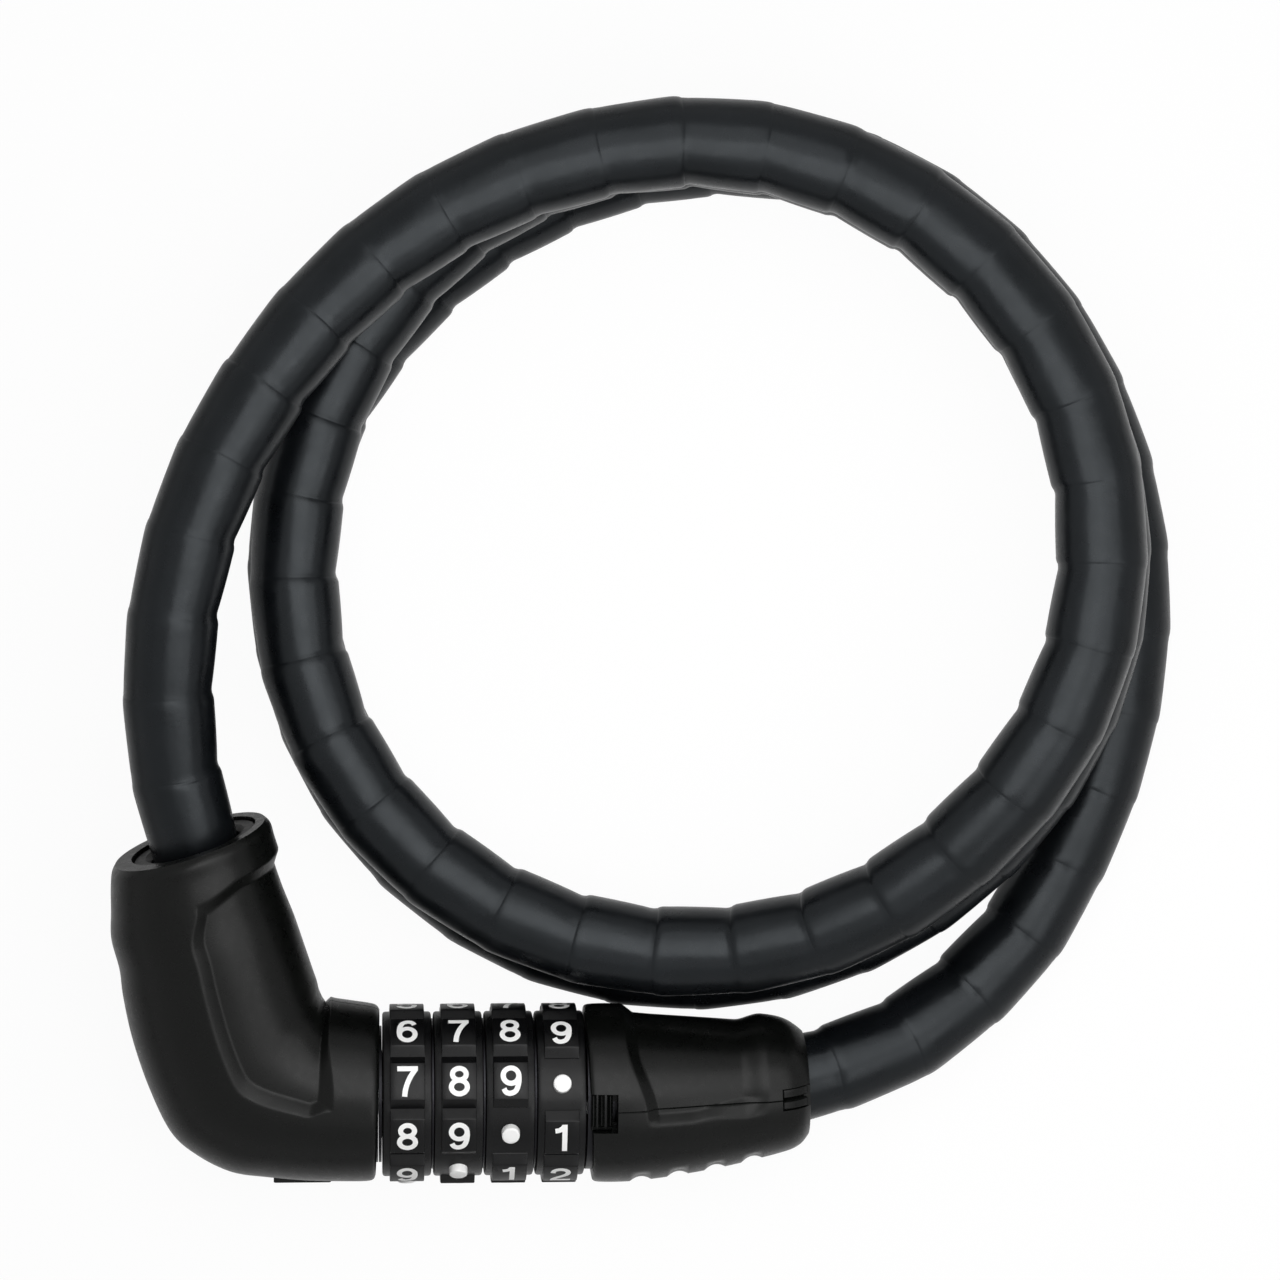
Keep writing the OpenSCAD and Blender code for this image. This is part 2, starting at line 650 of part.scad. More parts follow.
block_to_mouth = 16.95;
lock_block_l = mouth_x - block_to_mouth - block_x;
module lock_block() {
  color("#8a8d90") lock_frame() difference() {
    on_axis(block_x) cylinder(r = block_r, h = lock_block_l, $fn = 96);
    mouth_axis(-handle_rope_in - ferrule_end - 0.1) cylinder(r = ferrule_r + run_c, h = 30);
    handle_cross() cylinder(r = cross_pin_d / 2 + 0.02, h = 3 * block_r, center = true, $fn = 32);
  }
}

// The cross pin's axis, upright through the cable's end
module handle_cross() {
  mouth_axis(-handle_rope_in - cross_off) rotate([0, 90, 0]) children();
}

module handle_ferrule() {
  color("#9a9da0") lock_frame() difference() {
    mouth_axis(-handle_rope_in - ferrule_end) cylinder(r = ferrule_r, h = handle_ferrule_l);
    mouth_axis(-handle_rope_in) cylinder(r = rope_r + 0.02, h = handle_ferrule_l);
    handle_cross() cylinder(r = cross_pin_d / 2 + 0.02, h = 3 * block_r, center = true, $fn = 32);
  }
}

module handle_ferrule_pin() {
  color("#c8cacc") lock_frame() handle_cross()
    cylinder(r = cross_pin_d / 2, h = 2 * block_r - 2.4, center = true, $fn = 32);
}

// ---------- Elbow ----------

// Stations of the elbow from the dials to the outlet: inner side, outer side and half height
elbow_rows = [
  [-14, 14.5, -14.7, -13.8, 14.6], [-15, 15.4, -15.6, -14.7, 15.5], [-19, 16.1, -20, -14.8, 15.6],
  [-22.1, 16.7, -26.6, -14.6, 15.6], [-23, 17.9, -33.1, -14, 15.6], [-23.4, 19.1, -39.5, -13, 15.6],
  [-23.5, 19.9, -45.3, -10, 15.6], [-23.5, 20.6, -49.7, -5.9, 15.6], [-23.6, 21.4, -53.3, 1.9, 15.6],
  [-24, 22.7, -56, 10.4, 15.6], [-25.6, 27.6, -57.5, 17.8, 15.6], [-27.1, 32.1, -58.1, 22.8, 15.4],
  [-29, 37, -59.4, 28.1, 15], [-30.5, 41.5, -59.4, 32.7, 14.7], [-31.7, 45.2, -59.4, 36.8, 14.3],
  [-32.4, 47.6, -59.2, 39.4, 14.2], [-33.4, 48.6, -58.6, 40.8, 13.4]
];
elbow_n = 3;
elbow_side_n = 20;

// The grip panel lies back on the inner side, from the row g0 to the row g1
function grip_mask(i, a) =
  let (
    first = 3 - 0.5 * ease((a - 30) / 50),
    last = 12.9 - 0.5 * ease((a - 50) / 40),
    edge = 88 - 4 * (1 - ease((i - 4.5) / 2.5)) - 8 * ease((i - 11.4) / 1.4) - 6 * (1 - ease((i - 2.6) / 0.9))
  ) ease((i - first) / 0.6) * (1 - ease((i - last) / 0.7)) * (1 - ease((a - edge) / 9));
function elbow_ring(i, row) =
  let (
    in = [row[0], row[1]], out = [row[2], row[3]],
    mid = (in + out) / 2, half = norm(in - out) / 2, e = (in - out) / (2 * half)
  ) [for (j = [0:elbow_side_n])
      let (a = 180 - 180 * j / elbow_side_n, r = grip_depth * grip_mask(i, a), p = mid + e * (half - r) * cos(a))
        [p[0], p[1], (row[4] - r) * sin(a)]];
elbow_stations = curve(elbow_rows, elbow_n);

module elbow_room() {
  on_axis(elbow_x - corner_l - fit_c) cylinder(r = block_r + fit_c, h = collar_x1 - elbow_x + corner_l, $fn = 96);
  on_axis(collar_x1 - collar_t) cylinder(r = neck_r + fit_c, h = collar_t + 1, $fn = 96);
  arm_axis(-corner_l - fit_c) cylinder(r = arm_block_r + fit_c, h = corner_l + elbow_block_s + 2 * fit_c, $fn = 96);
  arm_axis() cylinder(r = mouth_bore_r, h = outlet_s + 9);
  arm_axis(bush_s0) cylinder(r = bush_d / 2 + run_c, h = bush_l + 9, $fn = 96);
}
module elbow_half() {
  difference() {
    skin([for (i = [0:len(elbow_stations) - 1]) elbow_ring(i / elbow_n, elbow_stations[i])]);
    elbow_room();
  }
}

module elbow_shell_top() {
  pad_h = 0.1;
  pad_z = [0, 2.2];
  color("#1b1c1d") lock_frame() union() {
    elbow_half();
    translate([-22.3 - pad_l, -15 - pad_h, pad_z[0]]) cube([pad_l, 2.4, pad_z[1] - pad_z[0]]);
  }
}
module elbow_shell_bottom() {
  color("#1b1c1d") lock_frame() mirror([0, 0, 1]) elbow_half();
}

module outlet_bush() {
  lip = 0.8;
  color("#141516") lock_frame() arm_axis(bush_s0) rotate_extrude($fn = 96) polygon([
    [mouth_bore_r, 0], [bush_d / 2, 0], [bush_d / 2, bush_l - 0.4], [bush_d / 2 - 0.4, bush_l],
    [mouth_bore_r + lip, bush_l], [mouth_bore_r, bush_l - lip]
  ]);
}

// ---------- Plug ----------

module plug_collar() {
  color("#b4b7ba") lock_frame() on_axis(collar_x1 - collar_t) difference() {
    cylinder(r = neck_r, h = collar_t, $fn = 96);
    translate([0, 0, -1]) cylinder(r = pin_r + run_c, h = collar_t + 2);
  }
}

module plug_pin() {
  l = pin_x1 - collar_x1 + pin_root;
  tip = 0.8;
  color("#c8cacc") lock_frame() union() {
    on_axis(collar_x1 - pin_root) rotate_extrude() polygon([
      [0, 0], [pin_r, 0], [pin_r, l - tip], [pin_r - tip, l], [0, l]
    ]);
    for (k = [1:dial_n]) translate([dial_x(k) + tooth_off - tooth_l / 2, -tooth_w / 2, 0])
      cube([tooth_l, tooth_w, tooth_r]);
  }
}

module plug_block() {
  color("#8a8d90") lock_frame() difference() {
    union() {
      on_axis(elbow_x - corner_l) cylinder(r = block_r, h = collar_x1 - collar_t - elbow_x + corner_l, $fn = 96);
      arm_axis(-corner_l) cylinder(r = arm_block_r, h = corner_l + elbow_block_s, $fn = 96);
    }
    on_axis(collar_x1 - pin_root) cylinder(r = pin_r + 0.02, h = pin_root + 1);
    arm_axis(elbow_ferrule_s - tiny) cylinder(r = ferrule_r + run_c, h = 20);
    elbow_cross() cylinder(r = cross_pin_d / 2 + 0.02, h = 3 * block_r, center = true, $fn = 32);
  }
}

module elbow_cross() {
  arm_axis(elbow_ferrule_s + cross_off) rotate([90, 0, 0]) children();
}

module elbow_ferrule() {
  color("#9a9da0") lock_frame() difference() {
    arm_axis(elbow_ferrule_s) cylinder(r = ferrule_r, h = elbow_ferrule_l);
    arm_axis(elbow_ferrule_s + ferrule_end) cylinder(r = rope_r + 0.02, h = elbow_ferrule_l);
    elbow_cross() cylinder(r = cross_pin_d / 2 + 0.02, h = 3 * block_r, center = true, $fn = 32);
  }
}

module elbow_ferrule_pin() {
  color("#c8cacc") lock_frame() elbow_cross()
    cylinder(r = cross_pin_d / 2, h = 2 * block_r - 2.4, center = true, $fn = 32);
}

handle_shell_upper();
handle_shell_lower();
code_slider();
shift_sleeve();
seam_clip();
dial_1();
dial_2();
dial_3();
dial_4();
code_ring_1();
code_ring_2();
code_ring_3();
code_ring_4();
barrel();
front_retainer();
dial_washers();
detent_balls();
detent_springs();
lock_block();
handle_ferrule();
handle_ferrule_pin();
elbow_shell_top();
elbow_shell_bottom();
outlet_bush();
plug_collar();
plug_pin();
plug_block();
elbow_ferrule();
elbow_ferrule_pin();
coil_jacket();
coil_sleeves();
coil_rope();
lead_jacket();
lead_sleeves();
lead_rope();
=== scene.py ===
# Armoured cable lock with four number dials, lying flat and locked, with its cable in a coil.
# Places along the cable are in metres. Shapes of the lock are in millimetres and made in the lock's
# own frame: x along the dials, v across them towards the coil and w upwards.
import bpy
import bmesh
import json
import math
import random
from mathutils import Matrix, Vector


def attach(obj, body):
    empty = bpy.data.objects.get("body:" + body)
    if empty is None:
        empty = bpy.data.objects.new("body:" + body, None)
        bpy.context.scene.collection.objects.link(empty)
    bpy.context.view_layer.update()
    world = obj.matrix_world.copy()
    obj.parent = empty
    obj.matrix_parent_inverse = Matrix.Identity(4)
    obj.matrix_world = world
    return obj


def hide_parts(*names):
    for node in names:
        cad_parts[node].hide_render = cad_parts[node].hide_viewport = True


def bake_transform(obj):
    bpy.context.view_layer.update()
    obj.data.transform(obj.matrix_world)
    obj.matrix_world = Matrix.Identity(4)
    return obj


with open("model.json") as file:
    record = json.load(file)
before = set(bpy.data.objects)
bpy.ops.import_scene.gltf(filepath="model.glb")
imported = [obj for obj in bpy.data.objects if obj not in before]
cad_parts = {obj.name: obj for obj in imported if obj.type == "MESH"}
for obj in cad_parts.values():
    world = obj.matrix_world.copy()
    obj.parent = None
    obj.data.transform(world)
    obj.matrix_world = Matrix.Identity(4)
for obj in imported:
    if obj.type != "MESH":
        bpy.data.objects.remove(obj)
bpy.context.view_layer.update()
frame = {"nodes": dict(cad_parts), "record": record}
MM = 0.001

# ---------- Camera ----------

CAMERA_PLACE = Vector((0.03086, 0.06172, 0.7157))
CAMERA_FOCAL_PX = 4060
PICTURE_PX = 1280
SENSOR = 36

camera = bpy.data.objects.new("camera", bpy.data.cameras.new("camera"))
camera.data.sensor_width = SENSOR
camera.data.lens = CAMERA_FOCAL_PX * SENSOR / PICTURE_PX
camera.location = CAMERA_PLACE
bpy.context.scene.collection.objects.link(camera)
bpy.context.scene.camera = camera

# ---------- The lock's frame ----------

# the middle of the four dials along their axis, the axis's y, and its height at the x that it tilts about
STACK_X = 3.7
AXIS_Y = -16.2
AXIS_H = 15.5
TILT_X = 28
ROLL = math.radians(11)
TILT = math.radians(4)
LOCK = (
    Matrix.Translation((TILT_X, AXIS_Y, AXIS_H)) @ Matrix.Rotation(TILT, 4, "Y")
    @ Matrix.Translation((-TILT_X, 0, 0)) @ Matrix.Rotation(ROLL, 4, "X")
)


def lock_pt(x, v, w=0):
    return LOCK @ Vector((x, v, w))


def lock_dir(x, v, w=0):
    return LOCK.to_3x3() @ Vector((x, v, w))


# ---------- Curves ----------

def ease(u):
    c = max(0.0, min(1.0, u))
    return c * c * (3 - 2 * c)


def ramp(u):
    """Rises from 0 to 1 in a straight slope with small round corners."""
    c, k = max(0.0, min(1.0, u)), 0.14
    if c < k:
        return c * c / (2 * k * (1 - k))
    if c > 1 - k:
        return 1 - (1 - c) ** 2 / (2 * k * (1 - k))
    return (c - k / 2) / (1 - k)


def curve_at(a, b, c, d, t):
    """A smooth curve's value between b and c, for numbers or vectors."""
    return 0.5 * (2 * b + (c - a) * t + (2 * a - 5 * b + 4 * c - d) * t * t + (3 * b - a - 3 * c + d) * t * t * t)


def curve(rows, n):
    """A smooth curve through rows of vectors, cut into n steps between each two."""
    e = len(rows) - 1
    made = [
        curve_at(rows[max(i - 1, 0)], rows[i], rows[i + 1], rows[min(i + 2, e)], k / n)
        for i in range(e) for k in range(n)
    ]
    return made + [rows[e]]


# ---------- The cable's route, in metres ----------

CABLE_R = 0.0075
# the coil's radius at its last point, how much wider it begins, and how far it rises to each next layer
LOOP_R = 0.0679
LOOP_SPREAD = 0.0034
LAYER_STEP = 0.0156
SLEEVE_PITCH = 0.014
COIL_C = Vector((0.0394, 0.0771))
# degrees round the coil: its first and last, and the step between two points of its route
COIL_A0, COIL_A1, COIL_STEP = 316, 1170, 12.2
# how far out the coil begins, and the degrees in which that fades
RUN_IN_R, RUN_IN_A = 0.015, 40
# the degrees that a climb takes, and where the climbs begin
CLIMB_A = 84
CLIMB_STARTS = (622, 982)
# where the coil lies off its round: the angle, how far outwards, and half the width in degrees
LIES = (
    (412, 0.0006, 40), (487, -0.0045, 66), (548, -0.0007, 32), (625, 0.0023, 90), (715, 0.0015, 60),
    (880, -0.002, 50), (950, 0.0006, 50), (1035, -0.0007, 30), (1095, 0.0005, 50),
)
# from the handle's mouth down to the coil
RUN_DOWN = (
    (0.069, -0.011, 0.0123), (0.0763, -0.0078, 0.0109), (0.0834, -0.0035, 0.0094),
    (0.0902, 0.0027, 0.0083), (0.0956, 0.0081, 0.0076),
)
# from the coil's last layer to the elbow
RUN_UP = (
    (0.022, 0.1426, 0.0387), (0.005, 0.1368, 0.0387), (-0.0108, 0.1273, 0.0387), (-0.0248, 0.1138, 0.0387),
    (-0.0357, 0.0984, 0.0387), (-0.0422, 0.0849, 0.0385), (-0.0462, 0.0718, 0.0375), (-0.0481, 0.0585, 0.0357),
    (-0.0482, 0.0466, 0.0334),
)
HANDLE_X, HANDLE_L, HANDLE_TILT = 21.75, 37.7, math.radians(2.8)
# the handle's mouth, its angle, and how deep the cable's skin goes into it
MOUTH_A = math.radians(14)
MOUTH_X, MOUTH_V = 59.45, HANDLE_L * math.sin(HANDLE_TILT) + 0.65
JACKET_IN = 9
# the elbow's arm: its lean, where it leaves the dials' axis, and how far along it the outlet is
ARM_LEAN = math.radians(17.6)
ELBOW_X = -31.2
OUTLET_S = 44.8 / math.cos(ARM_LEAN)
# how straight the lead comes out of the outlet, and how deep it goes into it
LEAD_OUT, LEAD_IN = 7, 16
# steps between two points of the route
ROUTE_CUTS = 8

mouth_dir = lock_dir(math.cos(MOUTH_A), math.sin(MOUTH_A))
mouth_pt = lock_pt(MOUTH_X, MOUTH_V)
arm_dir = lock_dir(-math.sin(ARM_LEAN), math.cos(ARM_LEAN))
elbow_pt = lock_pt(ELBOW_X, 0)


def coil_pt(a):
    """A point of the coil's centreline at the angle a, in degrees."""
    r = LOOP_R + LOOP_SPREAD * (COIL_A1 - a) / (COIL_A1 - COIL_A0)
    r += RUN_IN_R * math.exp(-(a - COIL_A0) / RUN_IN_A)
    for at, amount, half in LIES:
        if abs(a - at) < half:
            r += amount * (1 + math.cos(math.pi * (a - at) / half)) / 2
    z = CABLE_R + LAYER_STEP * sum(ease((a - c) / CLIMB_A) for c in CLIMB_STARTS)
    t = math.radians(a)
    return Vector((COIL_C.x + r * math.cos(t), COIL_C.y + r * math.sin(t), z))


def route():
    """The controls of the route, and how many of them come before the end of the coil's turns."""
    start = [(mouth_pt + s * mouth_dir) * MM for s in (-JACKET_IN, -JACKET_IN / 2, 0)]
    turns = []
    a = COIL_A0
    while a <= COIL_A1 - COIL_STEP / 2:
        turns.append(coil_pt(a))
        a += COIL_STEP
    first = start + [Vector(p) for p in RUN_DOWN] + turns
    last = [(elbow_pt + s * arm_dir) * MM for s in (OUTLET_S + LEAD_OUT, OUTLET_S, OUTLET_S - LEAD_IN)]
    return first + [coil_pt(COIL_A1)] + [Vector(p) for p in RUN_UP] + last, len(first)


def joints_of(controls, coil_end):
    """Where the armour sleeves meet, and the joint nearest to the end of the coil's turns."""
    fine = curve(controls, ROUTE_CUTS)
    run = [0.0]
    for p, q in zip(fine, fine[1:]):
        run.append(run[-1] + (q - p).length)
    count = round(run[-1] / SLEEVE_PITCH)
    pitch = run[-1] / count
    made, i = [], 0
    for k in range(count + 1):
        s = min(k * pitch, run[-1] - 1e-5)
        while run[i + 1] <= s:
            i += 1
        made.append(fine[i].lerp(fine[i + 1], (s - run[i]) / (run[i + 1] - run[i])))
    return made, round(run[ROUTE_CUTS * coil_end] / pitch)


# ---------- Mesh helpers ----------

def add_piece(name, verts, faces, material, body, sharp=35, scale=MM, place=LOCK):
    """A mesh piece from points of the lock's frame, smooth except at edges sharper than sharp degrees."""
    mesh = bpy.data.meshes.new(name)
    mesh.from_pydata([(place @ Vector(v)) * scale for v in verts], [], faces)
    mesh.materials.append(material)
    mesh.polygons.foreach_set("use_smooth", [True] * len(mesh.polygons))
    piece = bpy.data.objects.new(name, mesh)
    bpy.context.scene.collection.objects.link(piece)
    if sharp:
        mesh.set_sharp_from_angle(angle=math.radians(sharp))
    if body:
        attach(piece, body)
    return piece


def grid_faces(rows, cols, close_rows=False, close_cols=True):
    """Quads over a grid of points that runs row by row."""
    faces = []
    for i in range(rows if close_rows else rows - 1):
        for j in range(cols if close_cols else cols - 1):
            n, m = (i + 1) % rows, (j + 1) % cols
            faces.append((i * cols + j, i * cols + m, n * cols + m, n * cols + j))
    return faces


# ---------- Materials ----------

def node_material(name, colour, roughness, metallic=0.0, specular=0.5, tint=(1, 1, 1)):
    """A new material, its node tree and its shader, with the shader's own sockets set."""
    material = bpy.data.materials.new(name)
    material.use_nodes = True
    tree = material.node_tree
    shader = tree.nodes["Principled BSDF"]
    shader.inputs["Base Color"].default_value = (*colour, 1)
    shader.inputs["Roughness"].default_value = roughness
    shader.inputs["Metallic"].default_value = metallic
    shader.inputs["Specular IOR Level"].default_value = specular
    shader.inputs["Specular Tint"].default_value = (*tint, 1)
    return material, tree, shader


def noise(tree, scale, detail=3.0, stretch=None):
    """A noise over the object's own places, its scale in waves a metre."""
    place = tree.nodes.new("ShaderNodeTexCoord").outputs["Object"]
    if stretch:
        mapping = tree.nodes.new("ShaderNodeMapping")
        mapping.inputs["Scale"].default_value = stretch
        tree.links.new(place, mapping.inputs["Vector"])
        place = mapping.outputs["Vector"]
    made = tree.nodes.new("ShaderNodeTexNoise")
    made.inputs["Scale"].default_value = scale
    made.inputs["Detail"].default_value = detail
    tree.links.new(place, made.inputs["Vector"])
    return made.outputs["Fac"]


# where most of a noise's values lie
NOISE_LOW, NOISE_HIGH = 0.3, 0.7


def spread(tree, value, low, high):
    """Maps a noise onto the range from low to high."""
    made = tree.nodes.new("ShaderNodeMapRange")
    made.inputs["From Min"].default_value = NOISE_LOW
    made.inputs["From Max"].default_value = NOISE_HIGH
    made.inputs["To Min"].default_value = low
    made.inputs["To Max"].default_value = high
    tree.links.new(value, made.inputs["Value"])
    return made.outputs["Result"]


def mottle(tree, shader, value, dark, light):
    """Lets the colour drift between dark and light."""
    mix = tree.nodes.new("ShaderNodeMix")
    mix.data_type = "RGBA"
    mix.inputs["A"].default_value = (*dark, 1)
    mix.inputs["B"].default_value = (*light, 1)
    tree.links.new(spread(tree, value, 0, 1), mix.inputs["Factor"])
    tree.links.new(mix.outputs["Result"], shader.inputs["Base Color"])


def bump(tree, shader, value, depth, before=None):
    """Adds a bump of that depth in metres to the shader's normal."""
    made = tree.nodes.new("ShaderNodeBump")
    made.inputs["Distance"].default_value = depth
    tree.links.new(value, made.inputs["Height"])
    if before:
        tree.links.new(before, made.inputs["Normal"])
    tree.links.new(made.outputs["Normal"], shader.inputs["Normal"])
    return made.outputs["Normal"]


def grained_plastic(name, dark, light, roughness, grain=9000, depth=0.00001, specular=0.5):
    """Moulded black plastic with a fine spark-eroded grain and a faint drift of tone."""
    material, tree, shader = node_material(name, light, roughness, specular=specular)
    mottle(tree, shader, noise(tree, 160, 4), dark, light)
    rub = spread(tree, noise(tree, 700, 5), roughness - 0.04, roughness + 0.05)
    tree.links.new(rub, shader.inputs["Roughness"])
    bump(tree, shader, noise(tree, grain, 2), depth)
    return material


def skin_plastic():
    """The cable's satin skin: smooth, with long faint waves and rubbed patches."""
    material, tree, shader = node_material(
        "cable_skin", (0.003, 0.0034, 0.0038), 0.32, specular=0.195, tint=(0.88, 0.95, 1),
    )
    mottle(tree, shader, noise(tree, 110, 6), (0.0018, 0.0023, 0.0028), (0.0045, 0.0052, 0.0062))
    tree.links.new(spread(tree, noise(tree, 240, 7), 0.24, 0.35), shader.inputs["Roughness"])
    waves = bump(tree, shader, noise(tree, 170, 3), 0.0001)
    bump(tree, shader, noise(tree, 900, 3), 0.000012, waves)
    return material


def turned_metal(name, colour, roughness):
    """Turned metal with fine rings of tool marks round the dials' axis."""
    material, tree, shader = node_material(name, colour, roughness, metallic=1.0)
    rub = spread(tree, noise(tree, 1200, 4), roughness - 0.06, roughness + 0.08)
    tree.links.new(rub, shader.inputs["Roughness"])
    bump(tree, shader, noise(tree, 2500, 2, (6, 0.4, 0.4)), 0.000006)
    return material


SHELL = grained_plastic(
    "shell_plastic", (0.0018, 0.002, 0.0018), (0.0027, 0.003, 0.0027), 0.29, 5200, 0.000009, 0.138,
)
DIAL = grained_plastic(
    "dial_plastic", (0.0019, 0.0019, 0.0021), (0.003, 0.0031, 0.0034), 0.3, 9000, 0.000006, 0.145,
)
RUBBER = grained_plastic("bush_rubber", (0.003, 0.003, 0.003), (0.004, 0.004, 0.004), 0.5, specular=0.25)
PAINT = grained_plastic("white_paint", (0.82, 0.82, 0.81), (0.9, 0.9, 0.89), 0.45, 14000, 0.000004)
SKIN = skin_plastic()
STEEL = turned_metal("steel", (0.55, 0.55, 0.56), 0.3)
# near-black steel: partly the steel's own blackened finish, partly painted shade for the gaps where it shows
BLACK_STEEL_AND_GAP_SHADE = turned_metal("black_steel_and_gap_shade", (0.02, 0.02, 0.022), 0.38)
BRASS = turned_metal("brass", (0.72, 0.56, 0.3), 0.3)

# ---------- Cable ----------

CABLE_SIDES = 56
# half the length over which the cable bends at a joint
KINK_HALF = 0.0026
# how far the skin stands past the solid's radius, and the crease at a joint: depth, half width and wander
CABLE_PROUD = 0.00014
CREASE_DEPTH, CREASE_HALF, CREASE_WANDER = 0.00004, 0.00022, 0.00016
# the step up at a joint: its sharp part, its soft part and the part inside the bend, and half their lengths
STEP_SHARP, STEP_SOFT, STEP_INNER = 0.00005, 0.00027, 0.0003
SHARP_HALF, SOFT_HALF, INNER_HALF = 0.00022, 0.0013, 0.0017
# metres past a joint where its step is whole
PAST = 1
controls, coil_end = route()
joints, split = joints_of(controls, coil_end)
uneven = random.Random(5)
# for each joint the share of its soft step, the share of its crease and the turn of its crease
sleeve_ways = [(uneven.uniform(0.6, 1.4), uneven.uniform(0.5, 1.5), uneven.uniform(0, 6.3)) for _ in joints]


def seg_dir(k):
    """The direction of the straight sleeve that begins at joint k."""
    k = max(0, min(len(joints) - 2, k))
    return (joints[k + 1] - joints[k]).normalized()


def cable_frame(k, d):
    """Centre and direction at d past joint k, with the corner at each joint rounded."""
    length = (joints[k + 1] - joints[k]).length
    point, direction = joints[k] + seg_dir(k) * d, seg_dir(k)
    for j, far, sign in ((k, d, 1), (k + 1, length - d, -1)):
        if far < KINK_HALF and 0 < j < len(joints) - 1:
            u = (1 - far / KINK_HALF) / 2
            turn = seg_dir(j) - seg_dir(j - 1)
            point = point + turn * KINK_HALF * u * u
            direction = (seg_dir(k) - turn * u * sign).normalized()
    return point, direction


def inner_way(k):
    """The direction to the inside of the bend at joint k, or nought where there is none."""
    turn = seg_dir(k) - seg_dir(k - 1)
    return turn.normalized() if turn.length > 1e-4 else Vector((0, 0, 0))


def rise(j, at, out):
    """How far the skin has risen at the joint j, at metres past it, on the side out of the cable."""
    size, crease, turn = sleeve_ways[min(j, len(joints) - 1)]
    inside = max(0.0, out.dot(inner_way(j)))
    round_at = math.atan2(out.z, out.dot(seg_dir(j).cross(Vector((0, 0, 1)))))
    at = at + CREASE_WANDER * crease * math.sin(3 * round_at + turn)
    line = crease * (0.65 + 0.35 * math.sin(2 * round_at + 2 * turn))
    high = STEP_SHARP * line * ease(0.5 + at / (2 * SHARP_HALF)) + STEP_SOFT * size * ease(0.5 + at / (2 * SOFT_HALF))
    high += STEP_INNER * inside ** 1.5 * ease(0.5 + at / (2 * INNER_HALF))
    return high - CREASE_DEPTH * line * math.exp(-(at / CREASE_HALF) ** 2)


def cable_radius(k, d, length, out):
    """The skin lies on straight sleeves: each is widest just after its joint and falls to the next,
    and the step up at a joint is soft, with a thin line in part of it, and higher inside the bend."""
    here = rise(k, d, out) - rise(k, PAST, out)
    fall = rise(k + 1, PAST, out) * (d / length) ** 2
    return CABLE_R + CABLE_PROUD + here + rise(k + 1, d - length, out) - fall


# where the rings lie, in metres from the joint on each side
NEAR = (0.0001, 0.0002, 0.00032, 0.0005, 0.0008, 0.0012, 0.0018, 0.0026, 0.0038, 0.0053)


def cable_tube(name, k0, k1, body):
    """The cable's skin from joint k0 to joint k1, and the points that it follows."""
    verts, path = [], []
    for k in range(k0, k1):
        length = (joints[k + 1] - joints[k]).length
        steps = [0.0] + list(NEAR) + [length / 2] + [length - s for s in reversed(NEAR)]
        if k == k1 - 1:
            steps.append(length)
        for d in steps:
            centre, direction = cable_frame(k, d)
            side = Vector((0, 0, 1)).cross(direction).normalized()
            up = direction.cross(side)
            path.append(centre)
            for j in range(CABLE_SIDES):
                t = 2 * math.pi * j / CABLE_SIDES
                out = side * math.cos(t) + up * math.sin(t)
                verts.append(centre + out * cable_radius(k, d, length, out))
    rings = len(path)
    faces = grid_faces(rings, CABLE_SIDES)
    faces.append(tuple(reversed(range(CABLE_SIDES))))
    faces.append(tuple((rings - 1) * CABLE_SIDES + j for j in range(CABLE_SIDES)))
    piece = add_piece(name, verts, faces, SKIN, body, sharp=60, scale=1, place=Matrix.Identity(4))
    return piece, path


coil, coil_path = cable_tube("cable_coil", 0, split, "lock_body")
lead, lead_path = cable_tube("cable_lead", split, len(joints) - 1, None)
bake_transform(lead)


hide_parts("coil_jacket", "coil_sleeves", "coil_rope")
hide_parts("lead_jacket", "lead_sleeves", "lead_rope")

# ---------- Handle and elbow shells ----------

FLANGE_X, FLANGE_T, FLANGE_R = 21.2, 1.3, 13.1
BLOCK_X = 22.5
SLEEVE_RING_R, SLEEVE_ROOM = 11.3, 4.4
MOUTH_BORE_R, ROPE_IN = 7.9, 19.5
FIT = 0.1
SLIDER_X, SLIDER_L, SLIDER_TRAVEL, SLIDER_W, SLIDER_V = -0.1, 3.6, 0.8, 6.5, 0.8
SLIDER_Z0, SLIDER_TOP_R = 11.35, 15.2
CLIP_W, CLIP_L, CLIP_V = 3.6, 4.9, 0.25
# height of the clip's floor, how far its top lies under the handle's, and the open room over it
CLIP_FLOOR, CLIP_DROP, CLIP_ROOM = 9.1, 0.25, 5
# depths of the recess for the thumb, of the finger scallops and of the elbow's recess
THUMB_DEPTH, SCALLOP_DEPTH, GRIP_DEPTH = 1.4, 0.7, 1.5
SCALLOP_T0, SCALLOP_PITCH, SCALLOP_HALF, SCALLOPS = 8.4, 6.5, 1.85, 4
# depth of the groove along a parting line, and where the handle's lies: its place and its fall along the handle
SEAM, PARTING_V, PARTING_FALL = 0.14, 0.95, 0.022
# steps round half a section of the handle and of the elbow
HANDLE_STEPS, ELBOW_STEPS = 150, 190

ON_AXIS = Matrix(((0, 0, 1, 0), (1, 0, 0, 0), (0, 1, 0, 0), (0, 0, 0, 1)))
HANDLE = Matrix.Translation((HANDLE_X, 0, 0)) @ Matrix.Rotation(HANDLE_TILT, 4, "Z")
MOUTH = (
    Matrix.Translation((MOUTH_X, MOUTH_V, 0)) @ Matrix.Rotation(MOUTH_A, 4, "Z")
    @ Matrix.Rotation(math.pi / 2, 4, "Y")
)
ARM = Matrix.Translation((ELBOW_X, 0, 0)) @ Matrix.Rotation(ARM_LEAN, 4, "Z") @ Matrix.Rotation(-math.pi / 2, 4, "X")

